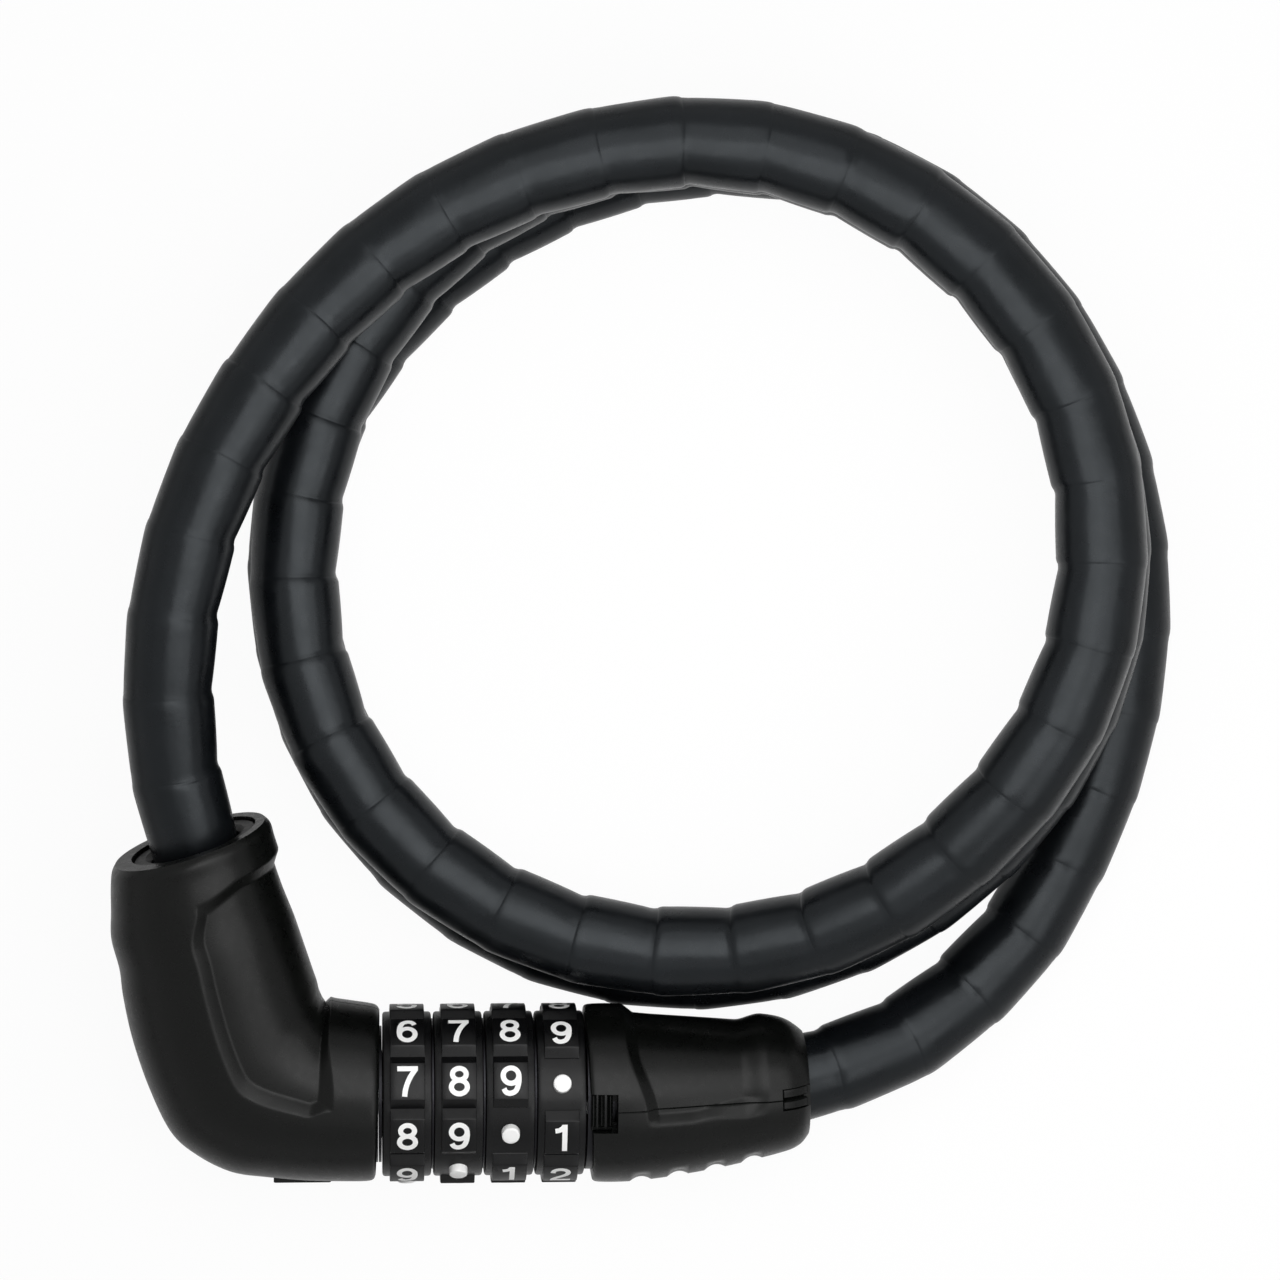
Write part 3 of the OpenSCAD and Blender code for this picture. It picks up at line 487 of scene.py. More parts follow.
# along the handle, its two sides and its half height
HANDLE_ROWS = (
    (0, 14.2, -14.4, 14.6), (0.8, 15.1, -15.3, 15.5), (6.5, 14.9, -15.6, 15.5), (12, 14.2, -15.3, 15),
    (18, 13.5, -14.7, 14.3), (24, 12.8, -13.9, 13.4), (29.5, 12.1, -12.9, 12.5), (33, 11.5, -12.2, 11.8),
    (35.2, 10.7, -11.6, 11.1), (36.8, 9.6, -10.7, 10.1), (38, 8.5, -9.3, 8.8),
)
# x and v of the elbow's inner side, then of its outer side, and its half height, from the dials to the outlet
ELBOW_ROWS = (
    (-14, 14.5, -14.7, -13.8, 14.6), (-15, 15.4, -15.6, -14.7, 15.5), (-19, 16.1, -20, -14.8, 15.6),
    (-22.1, 16.7, -26.6, -14.6, 15.6), (-23, 17.9, -33.1, -14, 15.6), (-23.4, 19.1, -39.5, -13, 15.6),
    (-23.5, 19.9, -45.3, -10, 15.6), (-23.5, 20.6, -49.7, -5.9, 15.6), (-23.6, 21.4, -53.3, 1.9, 15.6),
    (-24, 22.7, -56, 10.4, 15.6), (-25.6, 27.6, -57.5, 17.8, 15.6), (-27.1, 32.1, -58.1, 22.8, 15.4),
    (-29, 37, -59.4, 28.1, 15), (-30.5, 41.5, -59.4, 32.7, 14.7), (-31.7, 45.2, -59.4, 36.8, 14.3),
    (-32.4, 47.6, -59.2, 39.4, 14.2), (-33.4, 48.6, -58.6, 40.8, 13.4),
)


def rows_curve(rows, n):
    """A smooth curve through rows of plain numbers, cut into n steps between each two."""
    e = len(rows) - 1
    made = []
    for i in range(e):
        four = [rows[j] for j in (max(i - 1, 0), i, i + 1, min(i + 2, e))]
        for k in range(n):
            made.append([curve_at(*column, k / n) for column in zip(*four)])
    return made + [list(rows[e])]


def look_up(t, rows):
    """The values at t in rows that begin with rising numbers."""
    for a, b in zip(rows, rows[1:]):
        if t <= b[0]:
            u = max(0.0, (t - a[0]) / (b[0] - a[0]))
            return [p + (q - p) * u for p, q in zip(a, b)][1:]
    return rows[-1][1:]


def thumb_mask(t, a):
    """The share of the thumb recess's depth at t along the handle and the angle a from its coil side."""
    near = ramp((t - 6.5 - 2.9 * ease((a - 40) / 50)) / 2.2)
    below = ramp((a - 88 + 7 * ease((t - 17) / 9)) / (8 + 9 * ease((t - 19) / 8)))
    return near * (1 - ease((t - 26) / 5)) * (1 - below)


def scallop_mask(t, a):
    """The share of the finger scallops' depth at t along the handle and the angle a."""
    n = math.floor((t - SCALLOP_T0) / SCALLOP_PITCH + 0.5)
    d = t - SCALLOP_T0 - n * SCALLOP_PITCH
    if n < 0 or n >= SCALLOPS or abs(d) > SCALLOP_HALF:
        return 0.0
    return (1 - (d / SCALLOP_HALF) ** 2) * ease((a - 134) / 16)


def grip_mask(i, a):
    """The share of the elbow recess's depth at row i and the angle a from the inner side."""
    first = 3 - 0.5 * ease((a - 30) / 50)
    last = 12.9 - 0.5 * ease((a - 50) / 40)
    edge = 88 - 4 * (1 - ease((i - 4.5) / 2.5)) - 8 * ease((i - 11.4) / 1.4) - 6 * (1 - ease((i - 2.6) / 0.9))
    return min(ramp((i - first) / 0.62), 1 - ramp((i - last) / 0.6), 1 - ramp((a - edge) / 9))


def spaced(a0, a1, n, lip):
    """Angles from a0 to a1, with one more close to each end for the seam's little groove."""
    inner = [a0 + lip + (a1 - a0 - 2 * lip) * k / n for k in range(n + 1)]
    return [a0] + inner + [a1]


def closed_skin(rings):
    """Points and faces of a closed skin over rings of equal length."""
    count, m = len(rings), len(rings[0])
    faces = grid_faces(count, m)
    faces.append(tuple(reversed(range(m))))
    faces.append(tuple((count - 1) * m + j for j in range(m)))
    return [p for ring in rings for p in ring], faces


handle_fine = rows_curve(HANDLE_ROWS, 24)
HANDLE_K = HANDLE_L / HANDLE_ROWS[-1][0]


def handle_ring(t, coil_side):
    """One half's section at t along the handle, closed along the parting plane."""
    inner, outer, high = look_up(t, handle_fine)
    mid, half = (inner + outer) / 2, (inner - outer) / 2
    a1 = math.degrees(math.acos((PARTING_V - PARTING_FALL * t - mid) / half))
    a0, a2 = (-a1, a1) if coil_side else (a1 - 360, -a1)
    ring = []
    angles = spaced(a0, a2, HANDLE_STEPS, 0.6)
    for j, a in enumerate(angles):
        b = 360 - abs(a) if abs(a) > 180 else abs(a)
        r = THUMB_DEPTH * thumb_mask(t, b) + SCALLOP_DEPTH * scallop_mask(t, b)
        if j in (0, len(angles) - 1):
            r += SEAM
        c, s = math.cos(math.radians(a)), math.sin(math.radians(a))
        ring.append(HANDLE @ Vector((t * HANDLE_K, mid + (half - r) * c, (high - r) * s)))
    first, last = ring[0], ring[-1]
    return ring + [last.lerp(first, k / 6) for k in range(1, 6)]


ELBOW_CUTS = 14
elbow_fine = rows_curve(ELBOW_ROWS, ELBOW_CUTS)


def elbow_ring(i, row, up):
    """The elbow's upper or lower half at row i, closed along the parting plane."""
    inner, outer = Vector(row[0:2]), Vector(row[2:4])
    mid, half = (inner + outer) / 2, (inner - outer).length / 2
    e = (inner - outer) / (2 * half)
    ring = []
    angles = spaced(180, 0, ELBOW_STEPS, -0.5)
    for j, a in enumerate(angles):
        r = GRIP_DEPTH * grip_mask(i, a)
        if j in (0, len(angles) - 1):
            r += SEAM
        p = mid + e * (half - r) * math.cos(math.radians(a))
        ring.append(Vector((p.x, p.y, up * (row[4] - r) * math.sin(math.radians(a)))))
    return ring + [ring[-1].lerp(ring[0], k / 8) for k in range(1, 8)]


# edges of the shells sharper than this many degrees stay sharp
SHELL_SHARP = 40


def prism(outline, place, z0, z1):
    """A closed prism over an outline, moved by a matrix."""
    m = len(outline)
    points = [place @ Vector((x, y, z)) for z in (z0, z1) for x, y in outline]
    faces = [(j, (j + 1) % m, m + (j + 1) % m, m + j) for j in range(m)]
    return points, faces + [tuple(reversed(range(m))), tuple(range(m, 2 * m))]


def round_outline(r, n=144):
    return [(r * math.cos(2 * math.pi * k / n), r * math.sin(2 * math.pi * k / n)) for k in range(n)]


def face_out(mesh):
    """Turns the faces of a closed mesh outwards."""
    work = bmesh.new()
    work.from_mesh(mesh)
    bmesh.ops.recalc_face_normals(work, faces=work.faces)
    work.to_mesh(mesh)
    work.free()


def cut(piece, cutters):
    """Takes closed cutters, given in the lock's frame, away from a piece."""
    for verts, faces in cutters:
        tool = add_piece("cutter", verts, faces, SHELL, None, sharp=0)
        face_out(tool.data)
        work = piece.modifiers.new("cut", "BOOLEAN")
        work.operation, work.solver, work.object = "DIFFERENCE", "EXACT", tool
        graph = bpy.context.evaluated_depsgraph_get()
        graph.update()
        made = bpy.data.meshes.new_from_object(piece.evaluated_get(graph))
        piece.modifiers.clear()
        old, piece.data = piece.data, made
        bpy.data.meshes.remove(old)
        mesh = tool.data
        bpy.data.objects.remove(tool)
        bpy.data.meshes.remove(mesh)


def shell(name, rings, cutters, body, node):
    """A moulded half: a closed skin over rings, less its cutters, in place of a node."""
    verts, faces = closed_skin(rings)
    piece = add_piece(name, verts, faces, SHELL, None, sharp=0)
    face_out(piece.data)
    cut(piece, cutters)
    piece.data.polygons.foreach_set("use_smooth", [True] * len(piece.data.polygons))
    piece.data.set_sharp_from_angle(angle=math.radians(SHELL_SHARP))
    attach(piece, body)
    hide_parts(node)


def handle_height(t):
    return look_up(t / HANDLE_K, handle_fine)[2]


def clip_pocket(c):
    """The side view of the clip's pocket, c larger than the clip: along the handle and upwards."""
    t0, floor_w = HANDLE_L - CLIP_L - c, CLIP_FLOOR - c
    return [
        (t0, floor_w), (HANDLE_L + c, floor_w), (HANDLE_L + c, handle_height(HANDLE_L) + CLIP_ROOM),
        (HANDLE_L - 1.2, handle_height(HANDLE_L - 1.2) + CLIP_ROOM),
        (t0, handle_height(HANDLE_L - CLIP_L) + CLIP_ROOM),
    ]


# Turns a drawing of x and y so that x stays along, y points up and the drawing's z points to -v
UPRIGHT = Matrix(((1, 0, 0, 0), (0, 0, -1, 0), (0, 1, 0, 0), (0, 0, 0, 1)))
slot = [(-4, -SLIDER_W / 2 - FIT), (SLIDER_X + SLIDER_L + SLIDER_TRAVEL + FIT, -SLIDER_W / 2 - FIT)]
slot += [(x, -v) for x, v in reversed(slot)]
clip_place = HANDLE @ Matrix.Translation((0, CLIP_V, 0)) @ UPRIGHT
handle_cutters = [
    prism(round_outline(FLANGE_R + FIT), ON_AXIS, FLANGE_X - 2, FLANGE_X + FLANGE_T),
    prism(round_outline(SLEEVE_RING_R + FIT), ON_AXIS, BLOCK_X - 0.01, BLOCK_X + SLEEVE_ROOM),
    prism(round_outline(MOUTH_BORE_R), MOUTH, -ROPE_IN, 2),
    prism(slot, Matrix.Translation((HANDLE_X, SLIDER_V, 0)), SLIDER_Z0 - FIT, SLIDER_Z0 + 20),
    prism(clip_pocket(FIT), clip_place, -CLIP_W / 2 - FIT, CLIP_W / 2 + FIT),
]
# places along the handle, closer together at its rounded ends
handle_ts = [0, 0.08, 0.16, 0.27, 0.4, 0.55, 0.7, 0.85] + [1 + 0.25 * k for k in range(141)]
handle_ts += [36.4 + 0.16 * k for k in range(11)]
for name, coil_side, node in (
    ("handle_upper_form", True, "handle_shell_upper"), ("handle_lower_form", False, "handle_shell_lower"),
):
    shell(name, [handle_ring(t, coil_side) for t in handle_ts], handle_cutters, "lock_body", node)

NECK_R, COLLAR_X1, COLLAR_T = 11.65, -14.4, 1.35
BUSH_R, BUSH_L = 10.9, 7
elbow_cutters = [
    prism(round_outline(NECK_R + FIT), ON_AXIS, COLLAR_X1 - COLLAR_T, COLLAR_X1 + 1.5),
    prism(round_outline(BUSH_R + 0.05), ARM, OUTLET_S - 0.5 - BUSH_L, OUTLET_S + 9),
]
for name, up, node in (("elbow_top_form", 1, "elbow_shell_top"), ("elbow_bottom_form", -1, "elbow_shell_bottom")):
    rings = [elbow_ring(k / ELBOW_CUTS, row, up) for k, row in enumerate(elbow_fine)]
    shell(name, rings, elbow_cutters, "plug_body", node)

# the small pad on the elbow's outer side
PAD_X1, PAD_L, PAD_V, PAD_H, PAD_T = -22.3, 9.8, -15.1, 2.2, 2.4
pad = [
    (0.3, 0), (PAD_L - 0.3, 0), (PAD_L, 0.3), (PAD_L, PAD_H - 0.3),
    (PAD_L - 0.3, PAD_H), (0.3, PAD_H), (0, PAD_H - 0.3), (0, 0.3),
]
verts, faces = prism(pad, Matrix.Translation((PAD_X1 - PAD_L, PAD_V, 0)) @ UPRIGHT, -PAD_T, 0)
elbow_pad = add_piece("elbow_pad", verts, faces, SHELL, "plug_body")

# ---------- Code slider and seam clip ----------

# the slider's ribs: their height, half their width at the foot, and their places along it
RIB_DEPTH, RIB_HALF, RIBS = 0.9, 0.58, (0.32, 1.72, 3.2)
# the groove along the clip: its depth and half its width
CLIP_GROOVE, CLIP_GROOVE_HALF = 0.8, 0.4


def capped_block(name, xs, ys, top, floor_z, place, body, node):
    """A block with a shaped top over a grid of xs and ys, and straight sides down to floor_z."""
    verts = [place @ Vector((x, y, top(x, y))) for x in xs for y in ys]
    faces = grid_faces(len(xs), len(ys), close_cols=False)
    m, n = len(xs), len(ys)
    rim = list(range(n)) + [i * n + n - 1 for i in range(1, m)]
    rim += [(m - 1) * n + j for j in range(n - 2, -1, -1)] + [i * n for i in range(m - 2, 0, -1)]
    base = len(verts)
    verts += [place @ Vector((xs[i // n], ys[i % n], floor_z)) for i in rim]
    faces += [(rim[q], rim[(q + 1) % len(rim)], base + (q + 1) % len(rim), base + q) for q in range(len(rim))]
    faces.append(tuple(base + q for q in range(len(rim))))
    piece = add_piece(name, verts, faces, SHELL, body, sharp=38)
    face_out(piece.data)
    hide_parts(node)


def edge_fall(u, span, r=0.3):
    """How far a rounded edge of radius r has dropped at u along a side of that span."""
    near = max(0.0, r - min(u, span - u))
    return r - math.sqrt(max(0.0, r * r - near * near))


def steps(a, b, n, lip=(0, 0.04, 0.12, 0.3)):
    """Places from a to b, closer together at both ends."""
    ends = [a + s for s in lip] + [b - s for s in lip]
    return sorted({round(v, 4) for v in ends + [a + (b - a) * k / n for k in range(n + 1)]})


def slider_top(x, v):
    """Height of the slider's top: ribs across it that end before its lower edge."""
    dip = ease(min(abs(x - rib) for rib in RIBS) / RIB_HALF)
    dip = max(dip, 1 - ease((v + SLIDER_W / 2 - 0.7) / 0.5))
    r = SLIDER_TOP_R - RIB_DEPTH * dip - edge_fall(x, SLIDER_L, 0.22) - edge_fall(v + SLIDER_W / 2, SLIDER_W)
    return math.sqrt(r * r - (v + SLIDER_V) ** 2)


def clip_top(t, v):
    """Height of the clip's top, with the groove along its middle."""
    high = handle_height(t) - CLIP_DROP - edge_fall(t - HANDLE_L + CLIP_L, CLIP_L) - edge_fall(v + CLIP_W / 2, CLIP_W)
    return high - CLIP_GROOVE * max(0.0, 1 - abs(v) / CLIP_GROOVE_HALF)


capped_block(
    "slider_form", steps(0, SLIDER_L, 48), steps(-SLIDER_W / 2, SLIDER_W / 2, 26), slider_top, SLIDER_Z0,
    Matrix.Translation((HANDLE_X + SLIDER_X, SLIDER_V, 0)), "slider_body", "code_slider",
)
capped_block(
    "clip_form", steps(HANDLE_L - CLIP_L, HANDLE_L, 10), steps(-CLIP_W / 2, CLIP_W / 2, 24), clip_top,
    CLIP_FLOOR, HANDLE @ Matrix.Translation((0, CLIP_V, 0)), "lock_body", "seam_clip",
)

# ---------- Dials ----------

DIAL_R, SHOULDER_R, DIAL_BORE_R, PANEL_W, DIAL_W = 15.35, 14.05, 10.9, 5.9, 8.3
DIAL_PITCH, GROOVE_A, STUD_R, ROW_A, NUMBERS = 8.7, 13, 1.55, 25, 10
STEP_A = 360 / NUMBERS
# for each dial the number that stands ROW_A degrees from its top towards the coil, and the degrees it is off that
SHOWN = ((7, 0), (8, 0), (9, 0), (0, 2))
GROOVE_R = SHOULDER_R + 0.1
CUT_R = DIAL_R + 0.4
groove_half = CUT_R * math.tan(math.radians(GROOVE_A / 2)) * (CUT_R - GROOVE_R) / (DIAL_R - GROOVE_R)
GROOVE_SLOPE = groove_half / (CUT_R - GROOVE_R)
# roundness of the edge between a groove's flank and the panel's top, and the degrees past it where the top is plain
EDGE_ROUND, EDGE_REACH = 0.05, 1.2


def dial_x(k):
    return STACK_X + (k - 2.5) * DIAL_PITCH


def panel_top(d):
    """Radius of a panel at the angle d from the middle of the groove beside it."""
    t = math.radians(abs(d))
    flank = GROOVE_R * GROOVE_SLOPE / max(1e-6, GROOVE_SLOPE * math.cos(t) - math.sin(t))
    if abs(d) > GROOVE_A / 2 + EDGE_REACH:
        return DIAL_R
    gap = (DIAL_R - flank) if flank > 0 else -9
    return DIAL_R - 0.5 * (gap + math.sqrt(gap * gap + EDGE_ROUND * EDGE_ROUND))


def add_dial(k, shown, lag):
    """Dial k: nine panels with V grooves between them, and a bare place for nought."""
    x0 = dial_x(k)
    nought = (NUMBERS - shown) % NUMBERS
    near = [0, 0.25, 1.2, 2.6, 4, 5.2, 5.9, 6.2, 6.4, 6.55, 6.75, 7.0, 7.4, 8.5, 11, 14.5]
    offsets = [-d for d in reversed(near[1:])] + near + [STEP_A / 2 - 0.05]
    # each row across the dial: its x, the panels' share of their height, and its chamfer
    rows = [(-DIAL_W / 2, None, -0.45), (-DIAL_W / 2 + 0.13, None, -0.13), (-DIAL_W / 2 + 0.45, None, 0)]
    rows += [(-PANEL_W / 2 - 0.06, None, 0), (-PANEL_W / 2, 0.02, 0), (-PANEL_W / 2 + 0.02, 0.86, 0)]
    rows += [(-PANEL_W / 2 + 0.07, 0.96, 0), (-PANEL_W / 2 + 0.18, 1, 0), (-PANEL_W / 4, 1, 0)]
    rows += [(-x, f, c) for x, f, c in reversed(rows)]
    bore = DIAL_BORE_R - SHOULDER_R
    verts = []
    angles = sorted({round(STEP_A * (n + 0.5) + d, 4) for n in range(NUMBERS) for d in offsets})
    for x, share, chamfer in [(-DIAL_W / 2, None, bore)] + rows + [(DIAL_W / 2, None, bore)]:
        for a in angles:
            n = math.floor(a / STEP_A + 0.5)
            bare = n % NUMBERS == nought
            d = a - STEP_A * (math.floor(a / STEP_A) + 0.5)
            top = SHOULDER_R if bare or share is None else SHOULDER_R + (panel_top(d) - SHOULDER_R) * share
            r = top + chamfer
            t = math.radians(90 - ROW_A + lag + a)
            verts.append((x0 + x, r * math.cos(t), r * math.sin(t)))
    faces = grid_faces(len(rows) + 2, len(angles), close_rows=True)
    piece = add_piece("dial_%d_form" % k, verts, faces, DIAL, "dial_%d_body" % k, sharp=32)
    face_out(piece.data)
    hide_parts("dial_%d" % k)


def on_dial(k, lag, panel, dx, dy, r):
    """A point of a dial's skin: dx along the axis and dy up the row, from the middle of a panel."""
    t = math.radians(90 - ROW_A + lag + STEP_A * panel) - dy / DIAL_R
    return (dial_x(k) + dx, r * math.cos(t), r * math.sin(t))


def arc(cx, cy, rx, ry, a0, a1, n):
    """Points along an oval about (cx, cy)."""
    angles = [math.radians(a0 + (a1 - a0) * k / n) for k in range(n + 1)]
    return [(cx + rx * math.cos(a), cy + ry * math.sin(a)) for a in angles]


def through(*points):
    """A smooth line through points."""
    return [tuple(p) for p in rows_curve(points, 8)]


# Each number as pen strokes in millimetres about its middle, with True where a stroke closes
six_stem = through((1.2, 1.35), (0.85, 1.93), (0.12, 2.14), (-0.72, 1.8), (-1.17, 0.95), (-1.34, -0.1), (-1.32, -0.95))
six = [(arc(0, -0.84, 1.32, 1.3, 90, 450, 36), True), (six_stem, False)]
two_neck = through(
    (-1.31, 0.98), (-1.13, 1.72), (-0.5, 2.11), (0.25, 2.14), (0.95, 1.86), (1.28, 1.2), (1.05, 0.42),
    (0.3, -0.3), (-0.55, -0.95), (-1.15, -1.65), (-1.3, -2.3),
)
three_top = through(
    (-1.26, 1.2), (-1.0, 1.86), (-0.3, 2.14), (0.45, 2.1), (1.05, 1.7), (1.12, 1.05), (0.75, 0.42), (-0.3, 0.2),
)
three_bowl = through(
    (0.2, 0.22), (0.95, -0.05), (1.32, -0.8), (1.1, -1.65), (0.35, -2.12), (-0.5, -2.1), (-1.15, -1.65), (-1.35, -1.0),
)
five_bowl = through(
    (-1.22, 0.02), (-0.6, 0.52), (0.15, 0.62), (0.95, 0.25), (1.32, -0.62), (1.1, -1.6), (0.35, -2.12),
    (-0.5, -2.1), (-1.15, -1.65), (-1.35, -1.05),
)
seven_stem = through((1.32, 2.0), (0.62, 1.0), (0.05, -0.15), (-0.35, -1.4), (-0.5, -2.575))
STROKES = {
    1: [
        ([(0.42, 2.575), (0.42, -2.575)], False),
        (through((-1.2, 1.42), (-0.5, 1.55), (-0.02, 1.85), (0.3, 2.3)), False),
    ],
    2: [(two_neck, False), ([(-1.7, -2.16), (1.72, -2.16)], False)],
    3: [(three_top, False), (three_bowl, False)],
    4: [
        ([(0.62, 2.4), (-1.42, -1.0)], False), ([(-1.75, -1.0), (1.72, -1.0)], False),
        ([(0.66, 2.575), (0.66, -2.575)], False),
    ],
    5: [([(-1.2, 2.15), (1.4, 2.15)], False), ([(-0.98, 2.3), (-1.2, -0.05)], False), (five_bowl, False)],
    6: six,
    7: [([(-1.72, 2.15), (1.74, 2.15)], False), (seven_stem, False)],
    8: [(arc(0, 1.14, 1.16, 1.0, 0, 360, 32), True), (arc(0, -1.02, 1.34, 1.14, 0, 360, 36), True)],
    9: [([(-x, -y) for x, y in line], closed) for line, closed in six],
}
# width of the pen, how far the paint stands proud and each further stroke above the last, in millimetres
PEN, PAINT_PROUD, PAINT_LAYER = 0.87, 0.022, 0.003
# the longest piece of a stroke up the dial
PEN_STEP = 0.35


def ribbon(line, closed):
    """Left and right edges of a pen stroke."""
    m = len(line)
    if closed:
        line, m = line[:-1], m - 1
    sides = []
    for i in range(m):
        before = Vector(line[(i - 1) % m] if closed or i else line[i])
        after = Vector(line[(i + 1) % m] if closed or i < m - 1 else line[i])
        d = (after - before).normalized()
        p = Vector(line[i])
        n = Vector((-d.y, d.x)) * PEN / 2
        sides.append((p + n, p - n))
    return sides + [sides[0]] if closed else sides


def add_digits(k, shown, lag):
    """The painted numbers of dial k, as ribbons that follow its panels."""
    verts, faces = [], []
    for panel in range(NUMBERS):
        number = (shown + panel) % NUMBERS
        for layer, (line, closed) in enumerate(STROKES.get(number, [])):
            r = DIAL_R + PAINT_PROUD + PAINT_LAYER * layer
            sides = ribbon(line, closed)
            for (a, b), (c, d) in zip(sides, sides[1:]):
                # short steps, so that the ribbon keeps to the round of the dial
                n = max(1, math.ceil(max(abs(a.y - c.y), abs(b.y - d.y)) / PEN_STEP))
                for q in range(n):
                    a0, a1 = a.lerp(c, q / n), a.lerp(c, (q + 1) / n)
                    b0, b1 = b.lerp(d, q / n), b.lerp(d, (q + 1) / n)
                    # split across as well, for where the stroke lies along the axis
                    for h in range(3):
                        lo, hi = h / 3, (h + 1) / 3
                        quad = [a0.lerp(b0, lo), a1.lerp(b1, lo), a1.lerp(b1, hi), a0.lerp(b0, hi)]
                        faces.append(tuple(range(len(verts), len(verts) + 4)))
                        verts += [on_dial(k, lag, panel, p.x, p.y, r) for p in quad]
    piece = add_piece("dial_%d_numbers" % k, verts, faces, PAINT, "dial_%d_body" % k, sharp=0)
    work = bmesh.new()
    work.from_mesh(piece.data)
    bmesh.ops.remove_doubles(work, verts=work.verts, dist=1e-7)
    work.to_mesh(piece.data)
    work.free()


STUD_SIDES = 40
# radius and height above the shoulder, up the stud
STUD_ROWS = (
    (STUD_R + 0.02, -0.3), (STUD_R + 0.02, 0.05), (STUD_R - 0.02, 1.0), (STUD_R - 0.07, 1.2), (STUD_R - 0.2, 1.3),
    (STUD_R - 0.5, 1.34), (0.4, 1.36),
)


def add_stud(k, shown, lag):
    """The round stud that stands for nought on dial k."""
    panel = (NUMBERS - shown) % NUMBERS
    t = math.radians(90 - ROW_A + lag + STEP_A * panel)
    out, along = Vector((0, math.cos(t), math.sin(t))), Vector((1, 0, 0))
    up = Vector((0, math.sin(t), -math.cos(t)))
    centre = Vector((dial_x(k), 0, 0))
    verts = [
        centre + out * (SHOULDER_R + h) + along * r * math.cos(a) + up * r * math.sin(a)
        for r, h in STUD_ROWS for a in (2 * math.pi * j / STUD_SIDES for j in range(STUD_SIDES))
    ]
    faces = grid_faces(len(STUD_ROWS), STUD_SIDES)
    faces += [tuple(range(len(verts) - STUD_SIDES, len(verts))), tuple(reversed(range(STUD_SIDES)))]
    piece = add_piece("dial_%d_stud" % k, verts, faces, PAINT, "dial_%d_body" % k)
    face_out(piece.data)


for k, (shown, lag) in enumerate(SHOWN, 1):
    add_dial(k, shown, lag)
    add_digits(k, shown, lag)
    add_stud(k, shown, lag)

# ---------- Carried-over nodes ----------

FINISHES = {
    "shell_plastic": SHELL, "dial_plastic": DIAL, "bush_rubber": RUBBER, "steel": STEEL, "brass_ring": BRASS,
    "cable_skin": SKIN,
}
for row in frame["record"]["subparts"]:
    for place in frame["nodes"][row["node"]].material_slots:
        place.material = FINISHES[row["material_slot"]]
# the metal that shows in the gaps is near black: partly blackened steel, partly painted shade in the gaps between the
# dials and beside the slider
for name in ("plug_collar", "barrel", "front_retainer", "shift_sleeve", "dial_washers", "lock_block"):
    for place in frame["nodes"][name].material_slots:
        place.material = BLACK_STEEL_AND_GAP_SHADE

# ---------- Floor, lights and world ----------

FLOOR_HALF = 3.0
mesh = bpy.data.meshes.new("floor")
corners = [(x * FLOOR_HALF, y * FLOOR_HALF, 0) for x, y in ((-1, -1), (1, -1), (1, 1), (-1, 1))]
mesh.from_pydata(corners, [], [(0, 1, 2, 3)])
floor = bpy.data.objects.new("floor", mesh)
bpy.context.scene.collection.objects.link(floor)

WHITE = (1, 1, 1, 1)


def sees_backdrop(tree, in_gloss):
    """1 for rays from the camera, and in_gloss for rays off gloss or through glass."""
    rays = tree.nodes.new("ShaderNodeLightPath")
    either = tree.nodes.new("ShaderNodeMath")
    either.operation = "MAXIMUM"
    tree.links.new(rays.outputs["Is Glossy Ray"], either.inputs[0])
    tree.links.new(rays.outputs["Is Transmission Ray"], either.inputs[1])
    made = tree.nodes.new("ShaderNodeMath")
    made.operation = "MULTIPLY_ADD"
    tree.links.new(either.outputs["Value"], made.inputs[0])
    made.inputs[1].default_value = in_gloss
    tree.links.new(rays.outputs["Is Camera Ray"], made.inputs[2])
    return made.outputs["Value"]


floor_material = bpy.data.materials.new("floor")
floor_material.use_nodes = True
tree = floor_material.node_tree
tree.nodes["Principled BSDF"].inputs["Base Color"].default_value = (0.88, 0.88, 0.88, 1)
tree.nodes["Principled BSDF"].inputs["Roughness"].default_value = 0.9
glow = tree.nodes.new("ShaderNodeEmission")
glow.inputs["Color"].default_value = WHITE
blend = tree.nodes.new("ShaderNodeMixShader")
# how white the camera sees the floor, and the share of that in gloss: the rest is the floor as it is lit,
# with the object's shadow
FLOOR_WHITE, FLOOR_IN_GLOSS = 0.95, 0.3
whitened = tree.nodes.new("ShaderNodeMath")
whitened.operation = "MULTIPLY"
whitened.inputs[1].default_value = FLOOR_WHITE
tree.links.new(sees_backdrop(tree, FLOOR_IN_GLOSS), whitened.inputs[0])
tree.links.new(whitened.outputs["Value"], blend.inputs["Fac"])
tree.links.new(tree.nodes["Principled BSDF"].outputs["BSDF"], blend.inputs[1])
tree.links.new(glow.outputs["Emission"], blend.inputs[2])
tree.links.new(blend.outputs["Shader"], tree.nodes["Material Output"].inputs["Surface"])
floor.data.materials.append(floor_material)


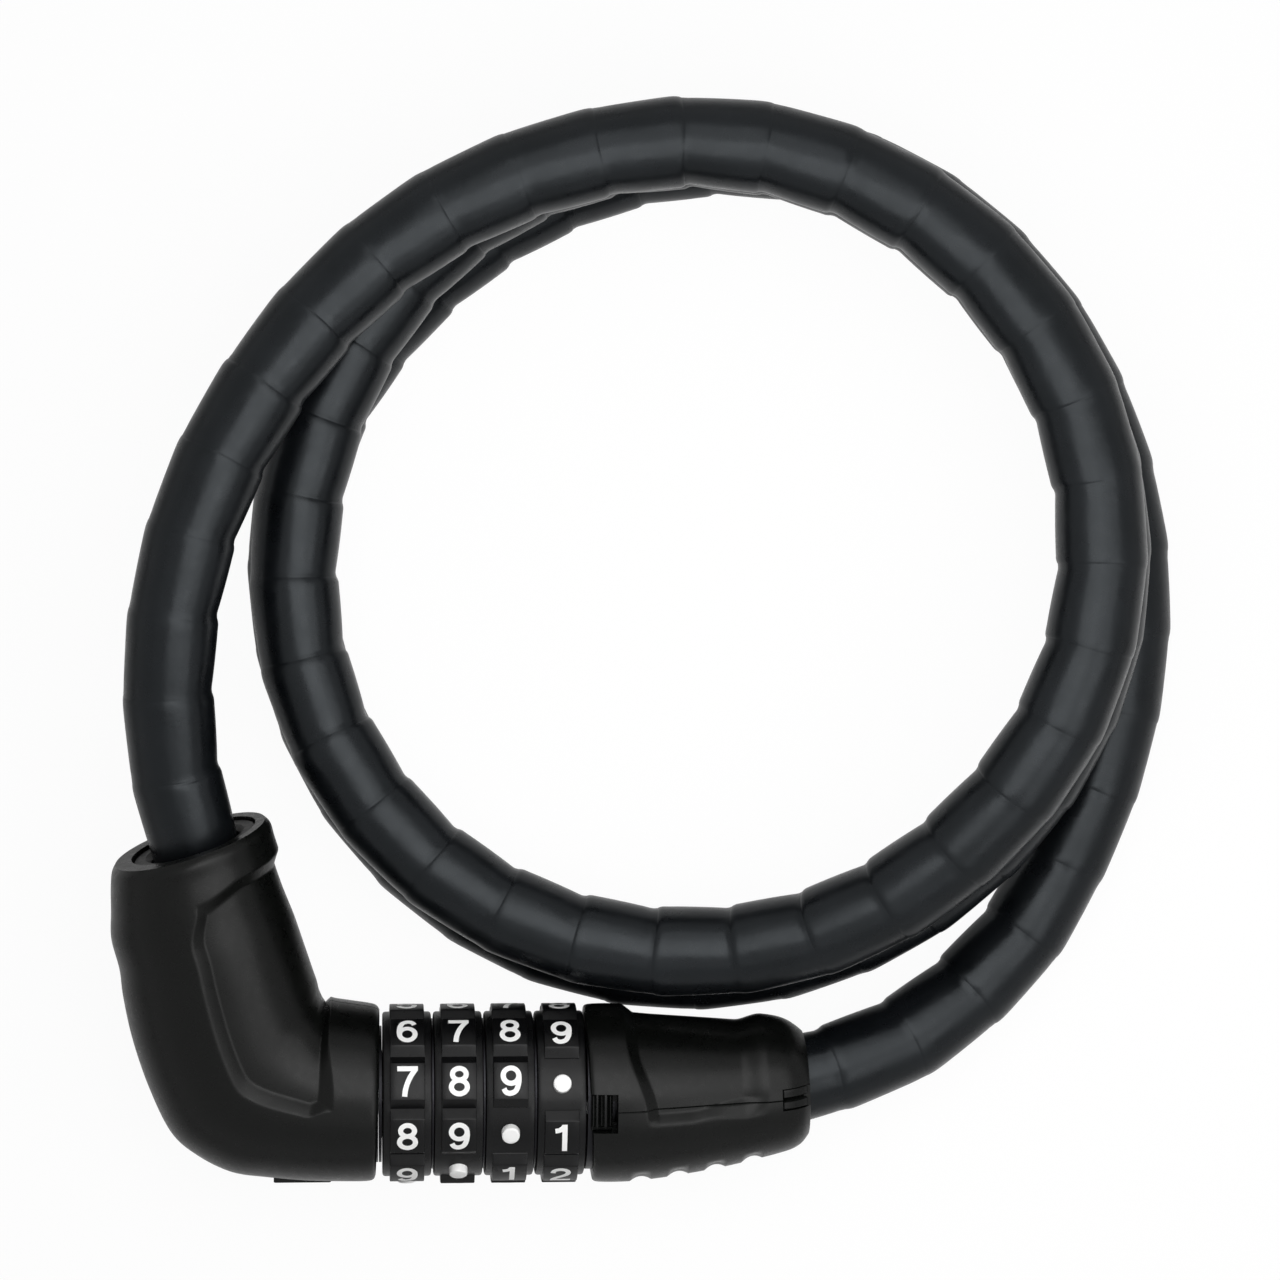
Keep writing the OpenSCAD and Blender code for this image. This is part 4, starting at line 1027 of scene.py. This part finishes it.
def area_light(name, place, target, side, watts):
    """A square lamp at a place, facing a target."""
    data = bpy.data.lights.new(name, "AREA")
    data.shape = "SQUARE"
    data.size = side
    data.energy = watts
    light = bpy.data.objects.new(name, data)
    light.location = place
    light.rotation_mode = "QUATERNION"
    light.rotation_quaternion = (Vector(target) - Vector(place)).to_track_quat("-Z", "Y")
    light.visible_camera = False
    bpy.context.scene.collection.objects.link(light)


# one big softbox over the part, made of panels of unequal strength: x, y and watts
PANEL, PANEL_H = 0.168, 0.24
PANELS = (
    (0.033, -0.11, 0.05), (0.033, 0.06, 0.33), (0.033, 0.23, 0.16),
    (0.2, -0.11, 0.15), (0.2, 0.06, 0.22), (-0.13, 0.06, 0.02),
)
for n, (x, y, watts) in enumerate(PANELS):
    area_light("panel_%d" % n, (x, y, PANEL_H), (x, y, 0), PANEL, watts)
# and lamps further off: tilt from straight overhead, turn from +X, and watts
FAR, FAR_SIZE, MIDDLE = 1.2, 0.34, Vector((0.033, 0.06, 0.02))
FAR_LAMPS = ((0, 0, 0.2), (16, 10, 0.4), (32, 324, 0.6), (48, 340, 0.4))
for n, (tilt, turn, watts) in enumerate(FAR_LAMPS):
    tilt, turn = math.radians(tilt), math.radians(turn)
    away = Vector((math.sin(tilt) * math.cos(turn), math.sin(tilt) * math.sin(turn), math.cos(tilt)))
    area_light("far_%d" % n, MIDDLE + FAR * away, MIDDLE, FAR_SIZE, watts)
world = bpy.data.worlds.new("world")
bpy.context.scene.world = world
world.use_nodes = True
backdrop = world.node_tree.nodes["Background"]
backdrop.inputs["Color"].default_value = WHITE
# the world's strength for rays that light the object without gloss
WORLD_LEVEL = 0.12
tree = world.node_tree
level = tree.nodes.new("ShaderNodeMapRange")
level.inputs["To Min"].default_value = WORLD_LEVEL
level.inputs["To Max"].default_value = 1.0
tree.links.new(sees_backdrop(tree, 1.0), level.inputs["Value"])
tree.links.new(level.outputs["Result"], backdrop.inputs["Strength"])
bpy.context.scene.view_settings.view_transform = "Standard"
